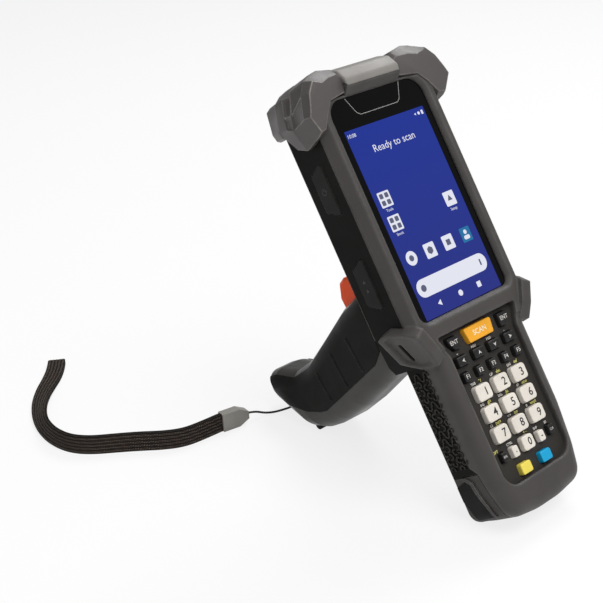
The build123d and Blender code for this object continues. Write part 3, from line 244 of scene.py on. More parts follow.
def softened(node, name, radius, angle=25, segments=3):
    """A copy of a piece's body whose sharp edges are rounded, as the mould leaves them."""
    bm = bmesh.new()
    bm.from_mesh(nodes[node].data)
    bmesh.ops.remove_doubles(bm, verts=bm.verts, dist=0.000002)
    bmesh.ops.dissolve_limit(bm, angle_limit=radians(0.5), verts=bm.verts, edges=bm.edges)
    sharp = [e for e in bm.edges if len(e.link_faces) == 2 and e.calc_face_angle() > radians(angle)]
    bmesh.ops.bevel(
        bm, geom=sharp, offset=radius, offset_type="OFFSET", segments=segments, profile=0.5,
        affect="EDGES", clamp_overlap=True, material=-1,
    )
    for face in bm.faces:
        face.smooth = True
    mesh = bpy.data.meshes.new(name)
    bm.to_mesh(mesh)
    bm.free()
    mesh.set_sharp_from_angle(angle=radians(35))
    piece = bpy.data.objects.new(name, mesh)
    scene.collection.objects.link(piece)
    return piece


slider = softened("strap_slider", "slider", 0.0011, 25, 4)
slider.data.materials.append(slider_plastic)
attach(slider, "terminal")
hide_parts("strap_slider")

# ---- Strap ----------------------------------------------------------------------------------
# A woven nylon strap, doubled over: two plies lie against each other from the slider to the
# folded end. It stands on its edge, and turns over on to its face as it comes round.
strap_half_width = 0.00525
strap_half_thick = 0.0015
# Plan position from the lanyard's exit, and how far the strap leans over, in degrees.
strap_route = [
    (-0.047, 0.0197, 0), (-0.059, 0.0204, 0), (-0.071, 0.022, 0), (-0.0805, 0.0282, 2),
    (-0.0895, 0.0371, 4), (-0.0995, 0.0458, 2), (-0.1092, 0.0538, 0), (-0.1158, 0.0635, 2),
    (-0.1176, 0.076, 8), (-0.1153, 0.090, 20), (-0.1085, 0.105, 42), (-0.098, 0.1205, 66),
    (-0.0865, 0.133, 82), (-0.0745, 0.1435, 90), (-0.0648, 0.1535, 90), (-0.0585, 0.162, 90),
]
strap_points = [
    Vector((
        x, y + lanyard_exit[1],
        strap_half_width * cos(radians(lean)) + strap_half_thick * sin(radians(lean)),
    ))
    for x, y, lean in strap_route
]
strap_line = bpy.data.meshes.new_from_object(route_curve("strap_line", strap_points))
strap_path = [v.co.copy() for v in strap_line.vertices]


def running_lengths(points):
    """How far along a line each of its points is."""
    lengths = [0.0]
    for before, after in zip(points, points[1:]):
        lengths.append(lengths[-1] + (after - before).length)
    return lengths


route_lengths = running_lengths(strap_points)
path_lengths = running_lengths(strap_path)
strap_length = path_lengths[-1]

webbing_ring = []
for step in range(21):
    share = step / 20
    rib = 0.00020 * (0.5 - 0.5 * cos(share * 10 * pi))
    webbing_ring.append((0.0013 + rib, -0.0049 + share * 0.0098))
webbing_ring += [(0.0011, 0.00525), (0.0005, 0.00525), (0.0, 0.0047), (-0.0005, 0.00525), (-0.0011, 0.00525)]
for step in range(21):
    share = 1 - step / 20
    rib = 0.00020 * (0.5 - 0.5 * cos(share * 10 * pi))
    webbing_ring.append((-0.0013 - rib, -0.0049 + share * 0.0098))
webbing_ring += [(-0.0011, -0.00525), (-0.0005, -0.00525), (0.0, -0.0047), (0.0005, -0.00525), (0.0011, -0.00525)]

bm = bmesh.new()
weave_map = bm.loops.layers.uv.new("weave")
ring = [bm.verts.new((0, 0, 0)) for _ in webbing_ring]
hoop = [bm.edges.new((a, b)) for a, b in zip(ring, ring[1:] + ring[:1])]
place_on_ring = {v: i for i, v in enumerate(ring)}
for station, point in enumerate(strap_path):
    if station:
        grown = bmesh.ops.extrude_edge_only(bm, edges=hoop)
        new_ring = [None] * len(ring)
        for vertex in ring:
            for edge in vertex.link_edges:
                other = edge.other_vert(vertex)
                if other not in place_on_ring:
                    new_ring[place_on_ring[vertex]] = other
        ring = new_ring
        for i, vertex in enumerate(ring):
            place_on_ring[vertex] = i
        hoop = [e for e in grown["geom"] if isinstance(e, bmesh.types.BMEdge) and all(v in ring for v in e.verts)]
    along_route = path_lengths[station] / strap_length * route_lengths[-1]
    after = next((i for i, d in enumerate(route_lengths) if d >= along_route - 1e-9), len(route_lengths) - 1)
    after = max(after, 1)
    share = (along_route - route_lengths[after - 1]) / (route_lengths[after] - route_lengths[after - 1])
    lean = radians(strap_route[after - 1][2] * (1 - share) + strap_route[after][2] * share)
    travel = (strap_path[min(station + 1, len(strap_path) - 1)] - strap_path[max(station - 1, 0)]).normalized()
    right = travel.cross(Vector((0, 0, 1))).normalized()
    upward = Vector((0, 0, 1)) * cos(lean) + right * sin(lean)
    outward = travel.cross(upward).normalized()
    to_end = (strap_length - path_lengths[station]) / 0.0018
    closing = (1 - (1 - to_end) ** 2) ** 0.5 if to_end < 1 else 1.0
    to_corner = to_end * 0.7
    narrowing = 0.62 + 0.38 * (1 - (1 - to_corner) ** 2) ** 0.5 if to_corner < 1 else 1.0
    for i, vertex in enumerate(ring):
        thick, wide = webbing_ring[i]
        vertex.co = point + outward * thick * max(closing, 0.04) + upward * wide * narrowing
bmesh.ops.holes_fill(bm, edges=[e for e in bm.edges if e.is_boundary], sides=0)
bmesh.ops.recalc_face_normals(bm, faces=bm.faces)
for face in bm.faces:
    face.smooth = True
strap_mesh = bpy.data.meshes.new("strap")
bm.to_mesh(strap_mesh)
bm.free()
strap = bpy.data.objects.new("strap", strap_mesh)
scene.collection.objects.link(strap)

around = len(webbing_ring)
weave_layer = strap_mesh.uv_layers["weave"].data
for loop in strap_mesh.loops:
    station, i = divmod(loop.vertex_index, around)
    weave_layer[loop.index].uv = (path_lengths[min(station, len(path_lengths) - 1)], webbing_ring[i][1])

webbing, tree, shader = new_finish("woven nylon", 0.75, 0.25)
weave = coordinates(tree, "UV")


def bands(direction, scale, phase, distortion):
    """Soft bands across the strap's own map, with a given pitch."""
    node = tree.nodes.new("ShaderNodeTexWave")
    node.bands_direction = direction
    for label, number in (("Scale", scale), ("Phase Offset", phase), ("Distortion", distortion)):
        node.inputs[label].default_value = number
    tree.links.new(weave, node.inputs["Vector"])
    return node.outputs["Fac"]


def combined(operation, first, second):
    """Two masks put together."""
    node = tree.nodes.new("ShaderNodeMath")
    node.operation = operation
    tree.links.new(first, node.inputs[0])
    tree.links.new(second, node.inputs[1])
    return node.outputs["Value"]


# five ribs, 1.96 mm apart, and slanting stitches along each of them
ribs = ranged(tree, bands("Y", 160.3, pi, 0.0), 0.0, 1.0, 0.12, 0.55)
picks = ranged(tree, bands("DIAGONAL", 410.0, 0.0, 2.2), 0.0, 1.0, 0.45, 0.95)
cross_picks = ranged(tree, bands("X", 260.0, 0.0, 2.0), 0.15, 1.0, 0.2, 0.9)
threads = combined("MULTIPLY", ribs, combined("MULTIPLY", picks, cross_picks))
fuzz = tree.nodes.new("ShaderNodeTexNoise")
fuzz.inputs["Scale"].default_value = 220.0
fuzz.inputs["Detail"].default_value = 4.0
tree.links.new(coordinates(tree, "Object"), fuzz.inputs["Vector"])
ground = two_tones(tree, ribs, paint(8, 7, 7), paint(32, 27, 24))
yarn = two_tones(tree, threads, ground, paint(122, 107, 94))
tree.links.new(
    two_tones(tree, ranged(tree, fuzz.outputs["Fac"], 0.0, 0.35, 0.5, 0.75), yarn, paint(60, 44, 34)),
    shader.inputs["Base Color"],
)
tree.links.new(ranged(tree, threads, 0.9, 0.6), shader.inputs["Roughness"])
relief = tree.nodes.new("ShaderNodeBump")
relief.inputs["Distance"].default_value = 0.00016
tree.links.new(combined("ADD", ribs, threads), relief.inputs["Height"])
tree.links.new(relief.outputs["Normal"], shader.inputs["Normal"])
strap_mesh.materials.append(webbing)
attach(strap, "terminal")
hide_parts("strap_webbing")

# ---- Housing --------------------------------------------------------------------------------
# Two glass-filled plastic shells that meet in a seam round the side, screwed together from
# behind. The front one is graphite grey, the rear one nearly black with rubbery side walls.
# The terminal is laid out in millimetres, glass up and head away, and then stood up.
tilt = radians(59.064)
standing = (
    Matrix.Translation((0, -0.016593, 0.138953)) @ Matrix.Rotation(tilt, 4, "X") @ Matrix.Scale(0.001, 4)
)


def finish_node(node, finish):
    """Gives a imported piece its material."""
    for slot in nodes[node].material_slots:
        slot.material = finish


# the graphite's pale edge band is 2.4 mm wide: a painted highlight along the rounded rails and edges, broken up like
# wear
graphite = moulded("graphite plastic", (70, 67, 65), (104, 101, 97), 0.5, 0.35, 0.14, 2200, 0.00002, 0.0024)
# the near-black side rubber turns pale grey at its edges: a painted highlight along them, partly wear
side_rubber = moulded("side rubber", (15, 15, 13), (112, 110, 104), 0.5, 0.08, 0.14, 2600, 0.00002, 0.0005)
seal_rubber = moulded("seal rubber", (24, 24, 24), (38, 38, 38), 0.7, 0.2)
finish_node("front_housing", graphite)
finish_node("rear_housing", side_rubber)
finish_node("housing_seal", seal_rubber)


def stood_up(bm, name, body, finish, angle=35):
    """Stands a piece up in its place, and lets it ride with its body."""
    bmesh.ops.transform(bm, matrix=standing, verts=bm.verts)
    for face in bm.faces:
        face.smooth = True
    mesh = bpy.data.meshes.new(name)
    bm.to_mesh(mesh)
    bm.free()
    mesh.set_sharp_from_angle(angle=radians(angle))
    mesh.materials.append(finish)
    piece = bpy.data.objects.new(name, mesh)
    scene.collection.objects.link(piece)
    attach(piece, body)
    return piece


def slab(bm, outline, low, high, edge=0.0):
    """Adds a flat-topped block on an outline in the XY plane, with its top edge rounded, and returns its vertices."""
    face = bm.faces.new([bm.verts.new((x, y, low)) for x, y in outline])
    grown = bmesh.ops.extrude_face_region(bm, geom=[face])["geom"]
    raised = [v for v in grown if isinstance(v, bmesh.types.BMVert)]
    bmesh.ops.translate(bm, vec=(0, 0, high - low), verts=raised)
    top = next(f for f in grown if isinstance(f, bmesh.types.BMFace))
    walls = [f for e in face.edges for f in e.link_faces]
    block = set(v for f in walls for v in f.verts) | set(raised)
    faces = list(set(f for v in block for f in v.link_faces))
    bmesh.ops.recalc_face_normals(bm, faces=faces)
    if edge:
        made = bmesh.ops.bevel(
            bm, geom=list(top.edges), offset=edge, offset_type="OFFSET", segments=2, profile=0.5,
            affect="EDGES", clamp_overlap=True, material=-1,
        )
        block = set(v for v in block if v.is_valid) | set(made["verts"])
    return list(block)


# Moulded treads on the sides of the keypad section: rows of interlocking raised curls.
# the treads' pale curl edges are painted highlights, partly wear
tread_rubber = moulded("tread rubber", (34, 31, 28), (128, 120, 110), 0.5, 0.2, 0.14, 2600, 0.00002, 0.0003)
turns = [radians(210 - 240 * step / 8) for step in range(9)]
curl = [(1.75 * cos(turn), 1.75 * sin(turn) - 0.4) for turn in turns]
curl += [(0.95 * cos(turn), 0.95 * sin(turn) - 0.4) for turn in reversed(turns)]
for side, name in ((-1, "tread_left"), (1, "tread_right")):
    bm = bmesh.new()
    for row in range(12):
        for column in range(4):
            y = -69.6 - 4.1 * row - (2.05 if column % 2 else 0)
            z = -10.2 - 3.2 * column
            x = 31.8 - max(-110 - y, 0) * 2.2 / 21
            turn = pi / 2 * ((row * 3 + column * 2 + row // 2) % 4)
            stud = slab(bm, curl, -0.6, 0.6, 0.2)
            onto_side = (
                Matrix.Translation((side * x, y, z)) @ Matrix.Rotation(side * pi / 2, 4, "Y") @ Matrix.Rotation(turn, 4, "Z")
            )
            bmesh.ops.transform(bm, matrix=onto_side, verts=stud)
    stood_up(bm, name, "terminal", tread_rubber)

# ---- Head: cover, bumpers and scan window -----------------------------------------------------
# A pale cover is clipped over the head end, between two thick rubber corner bumpers that are
# moulded over the housing. The scan window behind them is dark red acrylic.
cover_plastic = moulded("cover plastic", (132, 129, 125), (160, 157, 152), 0.5, 0.3, 0.1, 2200, 0.000015, 0.0008)
# the bumper rubber's pale ridges and edges are painted highlights, partly wear
bumper_rubber = moulded(
    "bumper rubber", (82, 78, 77), (176, 171, 164), 0.45, 0.45, 0.14, 1900, 0.000025, 0.0006, 0.93,
)
cover = softened("head_cover", "cover", 0.0014, 15, 4)
cover.data.materials.append(cover_plastic)
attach(cover, "terminal")
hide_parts("head_cover")

# Outline of a bumper at six heights, outer corners first.
bumper_levels = [
    (-36.0, [(17, 72), (20, 76), (28, 76), (32, 74.8), (35, 73), (36, 67.5), (37, 62), (36, 58.5),
             (34, 57.5), (32, 58), (29.5, 62), (17, 65)]),
    (-24.0, [(17.2, 74), (20.3, 77.6), (28.4, 78.3), (34, 76.4), (38.7, 73.2), (41, 66), (42, 60.5),
             (41, 57), (37.5, 56.5), (32.8, 58), (29.5, 62), (17, 65)]),
    (-17.0, [(17.2, 74), (20.3, 77.5), (28.4, 78.4), (34, 76.7), (39.1, 73.8), (42.3, 65), (44, 59),
             (42.2, 48.8), (38.4, 48.8), (33, 58), (29.5, 62), (17, 65)]),
    (-10.0, [(17.2, 74), (20.3, 77.3), (28.4, 78.5), (34, 77), (39.4, 74.4), (43.4, 64), (45.6, 57),
             (42.4, 46.3), (38.4, 46.3), (33, 58), (29.5, 62), (17, 65)]),
    (1.0, [(17.2, 74), (20, 77), (28.5, 78.5), (33.5, 77.6), (38.6, 75.4), (43.6, 69), (47.5, 58.6),
           (42.6, 49), (38.6, 50), (33.5, 58), (29.5, 62.5), (17, 65)]),
    (6.6, [(17.2, 67.2), (20.5, 70.2), (26.5, 70.8), (32, 70.2), (38, 73.4), (42.6, 68.4), (47.1, 57.8),
           (42.2, 51.6), (38.8, 52.6), (34, 58.5), (29.5, 63), (17, 65)]),
]
stepped_levels = (-24.0, -10.0)   # where the outline steps in behind a rib
for side, name in ((1, "head_bumper_right"), (-1, "head_bumper_left")):
    bm = bmesh.new()
    rings = []
    for height, outline in bumper_levels:
        if height in stepped_levels:
            # the outer corners, nearer to the bumper's middle
            inner = [(x + 0.12 * (27 - x), y + 0.12 * (62 - y)) if y > 64 else (x, y) for x, y in outline]
            corners = [bm.verts.new((x, y, height - 1.0)) for x, y in inner]
            rings.append([bm.edges.new((a, b)) for a, b in zip(corners, corners[1:] + corners[:1])])
        corners = [bm.verts.new((x, y, height)) for x, y in outline]
        rings.append([bm.edges.new((a, b)) for a, b in zip(corners, corners[1:] + corners[:1])])
    for lower, upper in zip(rings, rings[1:]):
        bmesh.ops.bridge_loops(bm, edges=lower + upper)
    bmesh.ops.holes_fill(bm, edges=[e for e in bm.edges if e.is_boundary], sides=0)
    # the front facet, which rises outwards
    bmesh.ops.bisect_plane(
        bm, geom=bm.verts[:] + bm.edges[:] + bm.faces[:], plane_co=(34, 57.25, 3.5), plane_no=(-0.196, -0.186, 1),
        clear_outer=True,
    )
    bmesh.ops.holes_fill(bm, edges=[e for e in bm.edges if e.is_boundary], sides=0)
    bmesh.ops.recalc_face_normals(bm, faces=bm.faces)
    # sunken panels in the side, with ribs between them
    panels = [
        f for f in bm.faces
        if len(f.verts) == 4 and f.calc_area() > 20 and f.calc_center_median().x > 38 and f.normal.x > 0.6
        and 58 < f.calc_center_median().y < 72 and -20 < f.calc_center_median().z < -1
    ]
    bmesh.ops.inset_individual(bm, faces=panels, thickness=1.1, depth=-0.9, use_even_offset=True)
    ridges = [e for e in bm.edges if e.calc_face_angle(0) > radians(14)]
    bmesh.ops.bevel(
        bm, geom=ridges, offset=0.35, offset_type="OFFSET", segments=2, profile=0.5, affect="EDGES",
        clamp_overlap=True, material=-1,
    )
    if side < 0:
        bmesh.ops.scale(bm, vec=(-1, 1, 1), verts=bm.verts)
        bmesh.ops.recalc_face_normals(bm, faces=bm.faces)
    bumper = stood_up(bm, name.replace("head_", ""), "terminal", bumper_rubber, 14)
    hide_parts(name)

window_acrylic, tree, shader = new_finish("red acrylic", 0.06, 0.5)
haze = tree.nodes.new("ShaderNodeTexNoise")
haze.inputs["Scale"].default_value = 90.0
tree.links.new(coordinates(tree, "Object"), haze.inputs["Vector"])
tree.links.new(
    two_tones(tree, haze.outputs["Fac"], paint(42, 6, 8), paint(58, 10, 12)), shader.inputs["Base Color"]
)
tree.links.new(ranged(tree, haze.outputs["Fac"], 0.04, 0.12), shader.inputs["Roughness"])
finish_node("scan_window", window_acrylic)

# ---- Display ----------------------------------------------------------------------------------
# Cover glass printed black behind its border, over a lit colour panel. The picture is a plain
# home page: a clock, a dock of tiles, a search bar and three navigation marks.
border_glass, tree, shader = new_finish("black glass", 0.05, 0.15)
smears = tree.nodes.new("ShaderNodeTexNoise")
smears.inputs["Scale"].default_value = 45.0
smears.inputs["Detail"].default_value = 6.0
smears.inputs["Distortion"].default_value = 1.2
tree.links.new(coordinates(tree, "Object"), smears.inputs["Vector"])
tree.links.new(two_tones(tree, smears.outputs["Fac"], paint(5, 5, 6), paint(10, 10, 11)), shader.inputs["Base Color"])
tree.links.new(ranged(tree, smears.outputs["Fac"], 0.03, 0.16, 0.3, 0.75), shader.inputs["Roughness"])
finish_node("display_glass", border_glass)


# How far up the screen a point lies, and how the panel's gloss varies.
panel_light = bpy.data.node_groups.new("panel light", "ShaderNodeTree")
for label in ("Height", "Gloss"):
    panel_light.interface.new_socket(label, in_out="OUTPUT", socket_type="NodeSocketFloat")
made = panel_light.nodes.new("NodeGroupOutput")
parts = panel_light.nodes.new("ShaderNodeSeparateXYZ")
panel_light.links.new(coordinates(panel_light, "Object", turn=(-tilt, 0, 0)), parts.inputs["Vector"])
screen_half_length = 0.0475
screen_middle = -(standing.inverted() @ Vector((0, 0, 0))).y / 1000
screen_height = ranged(
    panel_light, parts.outputs["Y"], 0.0, 1.0, screen_middle - screen_half_length, screen_middle + screen_half_length,
)
panel_light.links.new(screen_height, made.inputs["Height"])
gloss = panel_light.nodes.new("ShaderNodeTexNoise")
gloss.inputs["Scale"].default_value = 45.0
panel_light.links.new(coordinates(panel_light, "Object"), gloss.inputs["Vector"])
panel_light.links.new(ranged(panel_light, gloss.outputs["Fac"], 0.05, 0.14), made.inputs["Gloss"])


def lit(name, first, second):
    """A lit part of the picture, its tone going from the screen's lower end to its upper one."""
    finish, tree, shader = new_finish(name, 0.08, 0.15)
    shader.inputs["Emission Strength"].default_value = 1.0
    shader.inputs["Base Color"].default_value = (0.004, 0.004, 0.004, 1)
    light = tree.nodes.new("ShaderNodeGroup")
    light.node_tree = panel_light
    emitted = two_tones(tree, light.outputs["Height"], paint(*first), paint(*second))
    tree.links.new(emitted, shader.inputs["Emission Color"])
    tree.links.new(light.outputs["Gloss"], shader.inputs["Roughness"])
    return finish


screen_blue = lit("screen blue", (38, 48, 130), (28, 50, 146))
screen_white = lit("screen white", (226, 228, 240), (226, 228, 240))
screen_grey = lit("screen grey", (92, 96, 120), (92, 96, 120))
screen_teal = lit("screen teal", (36, 112, 160), (36, 112, 160))
finish_node("lcd_panel", screen_blue)


def box_outline(left, right, low, high):
    return [(left, low), (right, low), (right, high), (left, high)]


def rounded_box(bm, left, right, low, high, bottom, top, corner):
    """Adds a flat tile with rounded corners."""
    face = bm.faces.new([bm.verts.new((x, y, bottom)) for x, y in box_outline(left, right, low, high)])
    corners = bmesh.ops.bevel(
        bm, geom=list(face.verts), offset=corner, offset_type="OFFSET", segments=5, profile=0.5,
        affect="VERTICES", clamp_overlap=True, material=-1,
    )
    face = next(f for f in (corners["faces"] or [face]) if f.is_valid) if corners["faces"] else face
    face = next(f for f in {f for v in corners["verts"] for f in v.link_faces})
    grown = bmesh.ops.extrude_face_region(bm, geom=[face])["geom"]
    bmesh.ops.translate(bm, vec=(0, 0, top - bottom), verts=[v for v in grown if isinstance(v, bmesh.types.BMVert)])


def disc(bm, x, y, radius, bottom, top, sides=28, turn=0.0):
    """Adds a flat round, or with few sides a flat polygon."""
    place = Matrix.Translation((x, y, (bottom + top) / 2)) @ Matrix.Rotation(turn, 4, "Z")
    bmesh.ops.create_cone(
        bm, cap_ends=True, cap_tris=False, segments=sides, radius1=radius, radius2=radius, depth=top - bottom, matrix=place,
    )


def words(bm, text, size, x, y, bottom, top, weight=0.0):
    """Adds raised lettering, centred on a point."""
    letters = bpy.data.curves.new("letters", "FONT")
    letters.body = text
    letters.size = size
    letters.align_x = "CENTER"
    letters.align_y = "CENTER"
    letters.resolution_u = 3
    letters.offset = size * weight
    letters.extrude = (top - bottom) / 2
    mesh = bpy.data.meshes.new_from_object(bpy.data.objects.new("letters", letters))
    mesh.transform(Matrix.Translation((x, y, (bottom + top) / 2)))
    bm.from_mesh(mesh)
    bpy.data.meshes.remove(mesh)


bm = bmesh.new()
rounded_box(bm, -27, 27, -47.5, 47.5, -0.01, 0.02, 0.4)
stood_up(bm, "screen_picture", "terminal", screen_blue)

bm = bmesh.new()
words(bm, "10:08", 2.6, -23.6, 44.6, 0.0, 0.04)
words(bm, "Ready to scan", 5.1, 0, 35.6, 0.0, 0.04)
disc(bm, 20.2, 44.7, 0.75, 0.0, 0.04, 3, pi / 2)
disc(bm, 22.6, 44.7, 0.8, 0.0, 0.04)
rounded_box(bm, 24.4, 25.7, 43.7, 45.8, 0.0, 0.04, 0.2)
for low in (8.2, -3.8):
    rounded_box(bm, -24, -16.4, low, low + 7.6, 0.0, 0.03, 0.5)
rounded_box(bm, 15, 22.2, -2.6, 4.6, 0.0, 0.03, 0.6)
rounded_box(bm, -10.6, -3.4, -21.6, -14.4, 0.0, 0.03, 0.6)
rounded_box(bm, 2.4, 9.6, -21.6, -14.4, 0.0, 0.03, 0.6)
disc(bm, -20, -18, 3.5, 0.0, 0.03, 40)
rounded_box(bm, -25, 24.4, -37.4, -28.6, 0.0, 0.03, 4.3)
disc(bm, -14.6, -42.2, 1.7, 0.0, 0.03, 3, pi / 2)
disc(bm, 0, -42.2, 1.5, 0.0, 0.03, 28)
rounded_box(bm, 12.0, 14.8, -43.6, -40.8, 0.0, 0.03, 0.3)
words(bm, "Tools", 2.0, -20.2, 6.6, 0.0, 0.04)
words(bm, "Stock", 2.0, -20.2, -5.4, 0.0, 0.04)
words(bm, "Setup", 2.0, 18.6, -4.3, 0.0, 0.04)
stood_up(bm, "screen_marks", "terminal", screen_white)

bm = bmesh.new()
for low in (8.2, -3.8):
    for dx in (0.9, 4.3):
        for dy in (0.9, 4.3):
            rounded_box(bm, -24 + dx, -24 + dx + 2.4, low + dy, low + dy + 2.4, 0.02, 0.045, 0.5)
disc(bm, 18.6, 1.0, 1.9, 0.02, 0.045, 3, 0)
disc(bm, -7, -18, 2.0, 0.02, 0.045, 6)
disc(bm, 6, -18, 2.0, 0.02, 0.045, 4, pi / 4)
disc(bm, -20, -18, 1.5, 0.02, 0.045, 28)
disc(bm, -20.6, -33, 1.7, 0.02, 0.045, 28)
rounded_box(bm, 19.6, 20.6, -34.6, -31.4, 0.02, 0.045, 0.4)
stood_up(bm, "screen_icons", "terminal", screen_grey)

bm = bmesh.new()
rounded_box(bm, 15.4, 22.4, -21.6, -14.4, 0.0, 0.03, 0.6)
stood_up(bm, "screen_tile", "terminal", screen_teal)
bm = bmesh.new()
disc(bm, 18.9, -16.7, 1.1, 0.03, 0.045)
rounded_box(bm, 16.9, 20.9, -20.4, -18.4, 0.03, 0.045, 0.9)
stood_up(bm, "screen_tile_mark", "terminal", screen_white)

# The thin silver line that frames the bare name plate above the screen.
silver_ink = moulded("silver ink", (150, 150, 148), (170, 170, 168), 0.45, 0.5)
plate_corners = [(-18.3, 62.3), (-14.6, 54.4), (-12.6, 53.0), (12.6, 53.0), (14.6, 54.4), (18.3, 62.3)]
bm = bmesh.new()
for (x0, y0), (x1, y1) in zip(plate_corners, plate_corners[1:]):
    run = Vector((x1 - x0, y1 - y0))
    across = Vector((-run.y, run.x)).normalized() * 0.17
    slab(bm, [(x0 - across.x, y0 - across.y), (x1 - across.x, y1 - across.y), (x1 + across.x, y1 + across.y), (x0 + across.x, y0 + across.y)], -0.02, 0.03)
stood_up(bm, "name_plate_line", "terminal", silver_ink)

# ---- Keypad -------------------------------------------------------------------------------------
# A textured panel with 28 hard caps over a board of metal domes. The caps are moulded in their
# own colours, and the legends are printed on them and on the panel.
keypad_plastic = moulded("keypad plastic", (50, 47, 44), (74, 71, 67), 0.6, 0.25, 0.12, 2600, 0.000025, 0.0002)
white_cap = moulded("white cap", (228, 221, 211), (240, 236, 228), 0.42, 0.4, 0.08, 1800, 0.00001, 0.0003)
amber_cap = moulded("amber cap", (244, 172, 44), (252, 208, 120), 0.4, 0.4, 0.08, 1800, 0.00001, 0.0003)
yellow_cap = moulded("yellow cap", (238, 219, 92), (244, 232, 140), 0.4, 0.4, 0.08, 1800, 0.00001, 0.0003)
blue_cap = moulded("blue cap", (14, 164, 214), (90, 195, 226), 0.4, 0.4, 0.08, 1800, 0.00001, 0.0003)
black_cap = moulded("black cap", (34, 33, 33), (70, 68, 66), 0.42, 0.35, 0.1, 1800, 0.00001, 0.0003)
finish_node("keypad_panel", keypad_plastic)
cap_finishes = {
    "key_scan": amber_cap, "key_yellow": yellow_cap, "key_blue": blue_cap,
    "key_point": white_cap, "key_dash": white_cap,
}
for digit in range(10):
    cap_finishes[f"key_{digit}"] = white_cap
keys = [node for node in nodes if node.startswith("key_")]
for key in keys:
    finish_node(key, cap_finishes.get(key, black_cap))

ink_dark = moulded("dark ink", (52, 52, 56), (70, 70, 74), 0.5, 0.3)
ink_white = moulded("white ink", (214, 210, 204), (225, 222, 218), 0.5, 0.3)
ink_yellow = moulded("yellow ink", (212, 206, 118), (222, 216, 140), 0.5, 0.3)
cap_top, ink_top = 1.49, 1.53
digit_pitch_x, digit_pitch_y, digit_top_y = 13.16, 10.55, -88.5


def legend(key, text, size, x, y, ink, weight=0.012):
    """Prints one legend on a key, to move with it."""
    bm = bmesh.new()
    words(bm, text, size, x, y, cap_top, ink_top, weight)
    stood_up(bm, f"legend_{key[4:]}", key, ink)


for number in range(9):
    x = digit_pitch_x * (number % 3 - 1)
    y = digit_top_y - digit_pitch_y * (number // 3)
    legend(f"key_{number + 1}", str(number + 1), 5.6, x + 1.4, y - 0.1, ink_dark)
legend("key_0", "0", 5.2, 1.0, -119.4, ink_dark)
legend("key_point", ".", 4.4, -9.6, -119.2, ink_dark)
legend("key_dash", "-", 4.4, 9.8, -119.8, ink_dark)
legend("key_escape", "ESC", 1.5, -17.5, -119.7, ink_white)
legend("key_clear", "CLR", 1.5, 17.5, -119.7, ink_white)
legend("key_scan", "SCAN", 3.6, 0, -61.8, moulded("pale ink", (255, 232, 190), (255, 236, 200), 0.5), 0.03)
legend("key_enter_right", "ENT", 2.9, 18.2, -61.6, ink_white)
legend("key_enter_left", "ENT", 2.9, -18.2, -61.6, ink_white)
for number in range(5):
    legend(f"key_f{number + 1}", f"F{number + 1}", 2.9, 9.25 * (number - 2), -78.7, ink_white)
for key, x, turn in (("key_left", -17.1, pi / 2), ("key_up", -5.6, 0.0), ("key_down", 5.6, pi), ("key_right", 17.1, -pi / 2)):
    bm = bmesh.new()
    arrow = slab(bm, [(-1.05, -0.85), (0.0, -0.35), (1.05, -0.85), (0.0, 1.1)], cap_top, ink_top)
    bmesh.ops.transform(bm, matrix=Matrix.Translation((x, -71, 0)) @ Matrix.Rotation(turn, 4, "Z"), verts=arrow)
    stood_up(bm, f"legend_{key[4:]}", key, ink_white)

# Second functions, printed on the panel above the keys.
panel_top, panel_ink_top = -1.01, -0.97
bm = bmesh.new()
for number, text in enumerate(("*/", "abc", "def", "ghi", "jkl", "mno", "pqrs", "tuv", "wxyz")):
    x = digit_pitch_x * (number % 3 - 1)
    y = digit_top_y - digit_pitch_y * (number // 3)
    words(bm, text, 2.1, x + 2.5, y + 5.25, panel_top, panel_ink_top, 0.04)
words(bm, "+ -", 2.1, 2.5, -114.8, panel_top, panel_ink_top, 0.04)
words(bm, "OPT", 1.9, -20.2, -116.2, panel_top, panel_ink_top, 0.04)
stood_up(bm, "panel_marks_yellow", "terminal", ink_yellow)
bm = bmesh.new()
for number, text in enumerate(("TAB", "UP", "DN", "INS", "DEL", "SP", "( )", "< >", "#")):
    x = digit_pitch_x * (number % 3 - 1)
    y = digit_top_y - digit_pitch_y * (number // 3)
    words(bm, text, 1.8, x - 2.4, y + 5.25, panel_top, panel_ink_top, 0.04)
for x, text in ((-9.8, "CTRL"), (9.8, "SHF"), (17.5, "BS")):
    words(bm, text, 1.7, x, -115.9, panel_top, panel_ink_top, 0.04)
for x, text in ((-17.1, "+"), (-5.6, "PGU"), (5.6, "PGD"), (17.1, "-")):
    words(bm, text, 1.7, x, -67.5, panel_top, panel_ink_top, 0.04)
stood_up(bm, "panel_marks_white", "terminal", ink_white)

# ---- Boards, speaker and scan engine ----------------------------------------------------------
# Behind the glass and the keys: a green main board and a keypad board with solder mask, the
# scan engine in its zinc frame, and a small round speaker.
mask_green, tree, shader = new_finish("solder mask", 0.35, 0.5)
tracks = tree.nodes.new("ShaderNodeTexBrick")
tracks.inputs["Scale"].default_value = 120.0
tracks.inputs["Mortar Size"].default_value = 0.06
tracks.inputs["Color1"].default_value = paint(18, 78, 46)
tracks.inputs["Color2"].default_value = paint(24, 92, 54)
tracks.inputs["Mortar"].default_value = paint(62, 128, 74)
tree.links.new(coordinates(tree, "Object", turn=(-tilt, 0, 0)), tracks.inputs["Vector"])
tree.links.new(tracks.outputs["Color"], shader.inputs["Base Color"])
tree.links.new(ranged(tree, tracks.outputs["Fac"], 0.35, 0.25), shader.inputs["Roughness"])
relief = tree.nodes.new("ShaderNodeBump")
relief.inputs["Distance"].default_value = 0.00003
tree.links.new(tracks.outputs["Fac"], relief.inputs["Height"])
tree.links.new(relief.outputs["Normal"], shader.inputs["Normal"])
finish_node("main_board", mask_green)
finish_node("keypad_board", mask_green)


